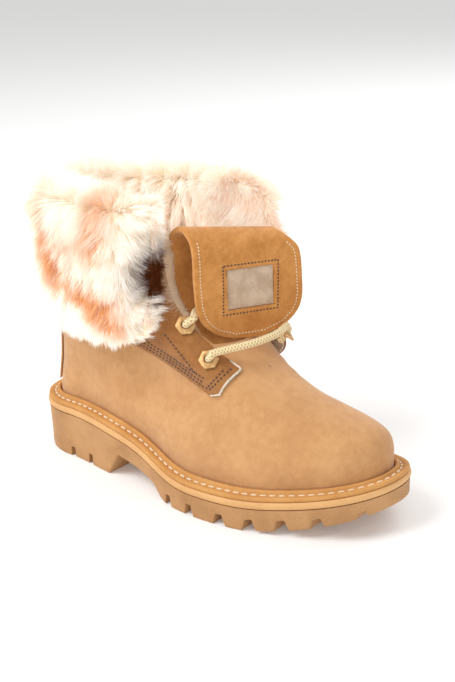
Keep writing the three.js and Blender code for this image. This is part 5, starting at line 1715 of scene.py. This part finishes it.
# %% Colour of the cuff by place
HOLLOW_HOOK = 0.37
STREAKS = table(
    "round hook wide_round wide_hook depth",
    (-0.45, 0.5, 0.07, 0.08, 0.8),
    (-0.46, 0.41, 0.07, 0.06, 0.9),
    (-0.55, 0.37, 0.07, 0.045, 0.95),
    (-0.65, 0.345, 0.08, 0.04, 0.95),
    (-0.75, 0.325, 0.07, 0.04, 0.95),
    (-0.82, 0.28, 0.045, 0.06, 0.9),
    (-0.86, 0.2, 0.035, 0.08, 0.9),
    (-0.76, 0.48, 0.045, 0.05, 0.7),
    (-0.81, 0.57, 0.05, 0.06, 0.75),
    (-0.86, 0.66, 0.06, 0.035, 0.5),
    (-0.6, 0.49, 0.14, 0.05, 0.45),
    (-0.1, 0.34, 0.16, 0.08, 0.4),
    (0.15, 0.5, 0.12, 0.06, 0.3),
    (0.4, 0.3, 0.12, 0.09, 0.45),
    (0.66, 0.18, 0.1, 0.07, 0.5),
    (0.95, 0.42, 0.1, 0.14, 0.35),
    (0.5, 0.84, 0.6, 0.1, 0.4),
)


def streak_at(s, hook):
    """Sum of the streaks' bells, at most 1."""
    spots = [
        depth * np.exp(-(((s - a) / wa) ** 2) - ((hook - b) / wb) ** 2)
        for a, b, wa, wb, depth in zip(*STREAKS.values())
    ]
    return np.clip(np.sum(spots, 0), 0, 1)


def dark_at(s, hook):
    """The hollow between the cuff's near end and the tongue: its dark brown fur and its painted shade."""
    return np.clip(2.0 * np.exp(-(((s + 1.0) / 0.07) ** 2) - ((hook - HOLLOW_HOOK) / 0.085) ** 2), 0, 1)


print(len(STREAKS["depth"]), "streaks")

# %% [markdown]
# ## The cuff's skin
# Where the hair parts, a soft skin shows under it. It is a closed sheet between two depths of the same
# form, and near the hollow it is darkened, partly as brown fur and partly as painted shade.

# %% Make the cuff's skin
def skin_depth(s, hook):
    """How deep the soft skin lies in the fur: further out at the inner end, drawn in at the hollow."""
    return mix(0.4, 0.72, smooth((s - 0.55) / 0.35)) - 0.3 * dark_at(s, hook)


hollow = fur_face(-1.0, HOLLOW_HOOK, 0.3)


def near_hollow(points):
    """1 close to the dark hollow and 0 away from it, as a bell over the distance."""
    far = np.linalg.norm(points - hollow, axis=1)
    # The skin's dark near the hollow is partly brown fur and partly painted shade.
    return {"dark": np.clip(2 * np.exp(-((far / 11) ** 2)), 0, 1)}


def put_skin(name, outer, inner, bulge, replaces=()):
    """A closed sheet in the skin's finish."""
    points, faces = slab(outer, inner, bulge)
    return put(name, points, faces, skin, "fur", replaces, sharp=80, values=near_hollow(points))


skin_s, skin_hook = np.meshgrid(np.linspace(-0.98, 0.98, 200), np.linspace(0, 1, 120), indexing="ij")
skin_out = fur_face(skin_s, skin_hook, skin_depth(skin_s, skin_hook))
put_skin("fur_skin", skin_out, fur_face(skin_s, skin_hook, 0.0), 1.0, ["fur_cuff"])

# %% [markdown]
# ## The long fur
# The hair is rooted on the skin. It lies down from the crown to both edges, stands up on the crown, is
# shorter at the hem and near the hollow, and is combed forward at the cuff's ends.

# %% Grow the long fur
AROUND_CUFF, ALONG_HOOK = 165.0, 190.0  # lengths of the cuff round the leg, to one side, and along the hook
LOCK_SIZE, WOOL_LOCK_SIZE = 8.5, 4.0
HAIR_WIDTH = 0.45


def frames_on(place, u, v, du, dv):
    """Root, and the directions in which u grows and v falls, from small steps on a surface function."""
    return place(u, v), unit(place(u + du, v) - place(u - du, v)), unit(place(u, v - dv) - place(u, v + dv))


def grow_fur(name, count, s_range, hook_range, length, stand, inward=(1, 1), both_ends=False):
    """Hair on the cuff, rooted at a share of the skin's depth. both_ends puts half on the other end."""
    s = random.uniform(*s_range, count)
    if both_ends:
        s = np.where(random.random(count) < 0.5, s, -s)
    hook = random.uniform(*hook_range, count)
    depth = skin_depth(s, hook) * random.uniform(*inward, count)

    def place(a, b):
        return fur_face(np.clip(a, -1, 1), np.clip(b, 0, 1), depth)

    roots, around, lie = frames_on(place, np.clip(s, -0.99, 0.99), np.clip(hook, 0.006, 0.994), 4e-3, 4e-3)
    normal = unit(np.cross(around, lie))
    outward = fur_face(s, hook, depth + 0.2) - fur_face(s, hook, depth)
    normal = normal * np.where(np.sum(normal * outward, -1, keepdims=True) < 0, -1, 1)
    numbers, offset = lock_of(np.stack([s * AROUND_CUFF, hook * ALONG_HOOK], -1), LOCK_SIZE)
    side = np.where(hook + 0.035 * random.normal(0, 1, count) > CROWN, -1, 1)[:, None]
    offset, lie = offset * np.concatenate([np.ones_like(side), -side], 1), lie * side
    end = smooth((np.abs(s) - 0.84) / 0.14)[:, None]
    forward = around * np.sign(s)[:, None]
    off_skin = normal * np.where(s < 0, 0.3, -0.05)[:, None]
    lie = unit(lie * (1 - 0.75 * end) + forward * 0.85 * end - off_skin * end)
    sideways = unit(around - lie * np.sum(around * lie, -1, keepdims=True) + 1e-6)
    crown = np.exp(-(((hook - CROWN) / 0.08) ** 2))
    # dark is the hollow's brown fur together with its painted shade.
    dark = dark_at(s, hook)
    hem = mix(0.5, 1, smooth((hook - 0.03) / 0.2))
    near_end = (1 - 0.35 * smooth((-s - 0.8) / 0.14)) * (1 - 0.35 * dark)
    points, faces, values = blades(
        (roots, normal, lie, sideways),
        (numbers, offset),
        length * hem * near_end,
        HAIR_WIDTH,
        stand * (1 - 0.5 * end[:, 0]) + 0.42 * crown,
        gather=0.72,
        droop=0.22,
        streak=streak_at(s, hook) * (1 + 0.4 * (numbers[:, 7] - 0.5)),
        dark=dark,
    )
    return put(name, points, faces, long_fur, "fur", weld=False, values=values)


grow_fur("fur_outer_side", 30000, (-1, -0.4), (0.045, 0.58), 15, 0.4)
grow_fur("fur_back", 28000, (-0.42, 0.3), (0.045, 0.58), 15, 0.4)
grow_fur("fur_inner_side", 30000, (0.28, 1), (0.045, 0.58), 16, 0.42)
grow_fur("fur_crown", 34000, (-1, 1), (0.54, 0.8), 13, 0.5)
grow_fur("fur_lining", 18000, (-1, 1), (0.76, 0.99), 10, 0.45)
grow_fur("fur_ends", 12000, (0.96, 1), (0.06, 0.97), 11, 0.3, inward=(0.0, 1.0), both_ends=True)

# %% [markdown]
# ## Wool beside the tongue and in the cuff's ends
# The tongue's back and its outer edge carry shorter wool. At each end of the cuff, between its outer and
# inner leg, a web of skin closes the hook, and hair grows out of it forward.

# %% Short wool beside the tongue and in the cuff's ends
def grow_wool(name, place, u_range, v_range, size, count, length, width, stand, finish, towards, shade=0.0):
    """Wool on any surface function. size is its length each way for the locks, towards the side its hair is
    on, and shade how dark it is around v = 0.4, partly as brown fur and partly as painted shade."""
    u, v = random.uniform(*u_range, count), random.uniform(*v_range, count)
    roots, around, lie = frames_on(place, u, v, np.ptp(u_range) / 200, np.ptp(v_range) / 200)
    normal = unit(np.cross(lie, around))
    normal = normal * np.where(normal @ np.array(towards) < 0, -1, 1)[:, None]
    numbers, offset = lock_of(np.stack([u, v], -1) * size, WOOL_LOCK_SIZE)
    points, faces, values = blades(
        (roots, normal, lie, unit(np.cross(normal, lie))),
        (numbers, offset),
        length,
        width,
        np.full(count, stand),
        gather=0.6,
        droop=0.15,
        streak=0.4 * numbers[:, 7],
        # shade darkens the hollow as brown fur and painted shade; the locks' small random dark is their own
        # tone.
        dark=np.clip(shade * np.exp(-(((v - 0.4) / 0.2) ** 2)) + 0.1 * numbers[:, 6], 0, 1),
    )
    return put(name, points, faces, finish, "fur", weld=False, values=values)


def stem_back(s, w):
    """The tongue's back."""
    return tongue_point(s, w) + tongue_normal(s, w) * TONGUE_THICKNESS / 2


def end_web(end):
    """The face between the cuff's two legs at one end: u goes in from the outer leg, v up to the crown."""

    def place(u, v):
        s = np.full_like(u, end)
        hook = mix(0.165, CROWN, v)
        outer, inner = fur_face(s, hook, skin_depth(s, hook) + 0.04), fur_face(s, mix(1, CROWN, v), 0.5)
        return mix(outer, inner, u[..., None]) + [3.0, 0, 0] * np.sin(np.pi * u)[..., None]

    return place


INNER_END, OUTER_END = end_web(0.985), end_web(-0.985)
STEM, WEB = (60, 30), (22, 60)
BACK, FRONT, AHEAD = (-1, -0.5, 0), (1, -0.2, 0), (1, 0, 0)
grow_wool("stem_wool", stem_back, (0.08, 0.46), (-0.99, -0.2), STEM, 7000, 14, 0.4, 0.15, short_fur, BACK)
grow_wool("edge_fringe", stem_back, (0.12, 0.45), (-0.99, -0.9), STEM, 5000, 12, 0.4, 0.5, short_fur, FRONT)
grow_wool("fur_inner_end", INNER_END, (0, 1), (0, 1), WEB, 12000, 13, 0.5, 0.7, long_fur, AHEAD)
# The outer end's shade is the hollow: partly brown fur, partly painted shade.
grow_wool("fur_outer_end", OUTER_END, (0, 1), (0, 1), WEB, 6000, 7, 0.5, 0.6, long_fur, AHEAD, shade=1.5)

web_grid = np.meshgrid(np.linspace(0, 1, 16), np.linspace(0, 1, 40), indexing="ij")
for name, place_in_web in (("inner_end_skin", INNER_END), ("outer_end_skin", OUTER_END)):
    web = place_in_web(*web_grid)
    put_skin(name, web, web - [1.5, 0, 0], 0.5)

# %% [markdown]
# ## The studio
# A pale floor, a bright even sky and three soft lights, the strongest from above on the heel's side.

# %% Floor and lights
FLOOR_HALF = 6000
floor_corners = FLOOR_HALF * np.array([[-1, -1, 0], [1, -1, 0], [1, 1, 0], [-1, 1, 0]])
floor_mesh = bpy.data.meshes.new("floor")
fill_mesh(floor_mesh, floor_corners, [np.array([[0, 1, 2, 3]])])
floor_finish = Finish("floor", roughness=0.9, specular_ior_level=0.1, emission_strength=1.0)
floor_glow = (0.12, 0.12, 0.12, 1)
floor_mesh.materials.append(floor_finish.wear(base_color=(0.9, 0.9, 0.9, 1), emission_color=floor_glow))
floor_piece = bpy.data.objects.new("floor", floor_mesh)
bpy.context.scene.collection.objects.link(floor_piece)


def soft_light(name, place, aim, size, power):
    """A round light at a place in metres, turned so that it shines at another."""
    data = bpy.data.lights.new(name, "AREA")
    data.shape = "DISK"
    data.size = size
    data.energy = power
    lamp = bpy.data.objects.new(name, data)
    away = unit(np.array(place, float) - np.array(aim, float))
    side = unit(np.cross([0, 0, 1.0], away))
    matrix = np.eye(4)
    matrix[:3, 0], matrix[:3, 1], matrix[:3, 2], matrix[:3, 3] = side, np.cross(away, side), away, place
    lamp.matrix_world = Matrix(matrix.tolist())
    bpy.context.scene.collection.objects.link(lamp)


soft_light("key", (-0.5, -1.1, 1.5), (0.1, 0, 0.08), 1.2, 24)
soft_light("fill", (1.5, -0.9, 0.9), (0.1, 0, 0.08), 1.6, 5)
soft_light("rim", (0.2, 1.5, 1.3), (0.1, 0, 0.1), 1.4, 14)
world = bpy.data.worlds.new("studio")
world.use_nodes = True
sky = world.node_tree.nodes["Background"]
sky.inputs["Color"].default_value = (1.0, 0.995, 0.985, 1)
sky.inputs["Strength"].default_value = 0.6
bpy.context.scene.world = world
bpy.context.scene.view_settings.view_transform = "Standard"
print("floor, three lights and sky placed")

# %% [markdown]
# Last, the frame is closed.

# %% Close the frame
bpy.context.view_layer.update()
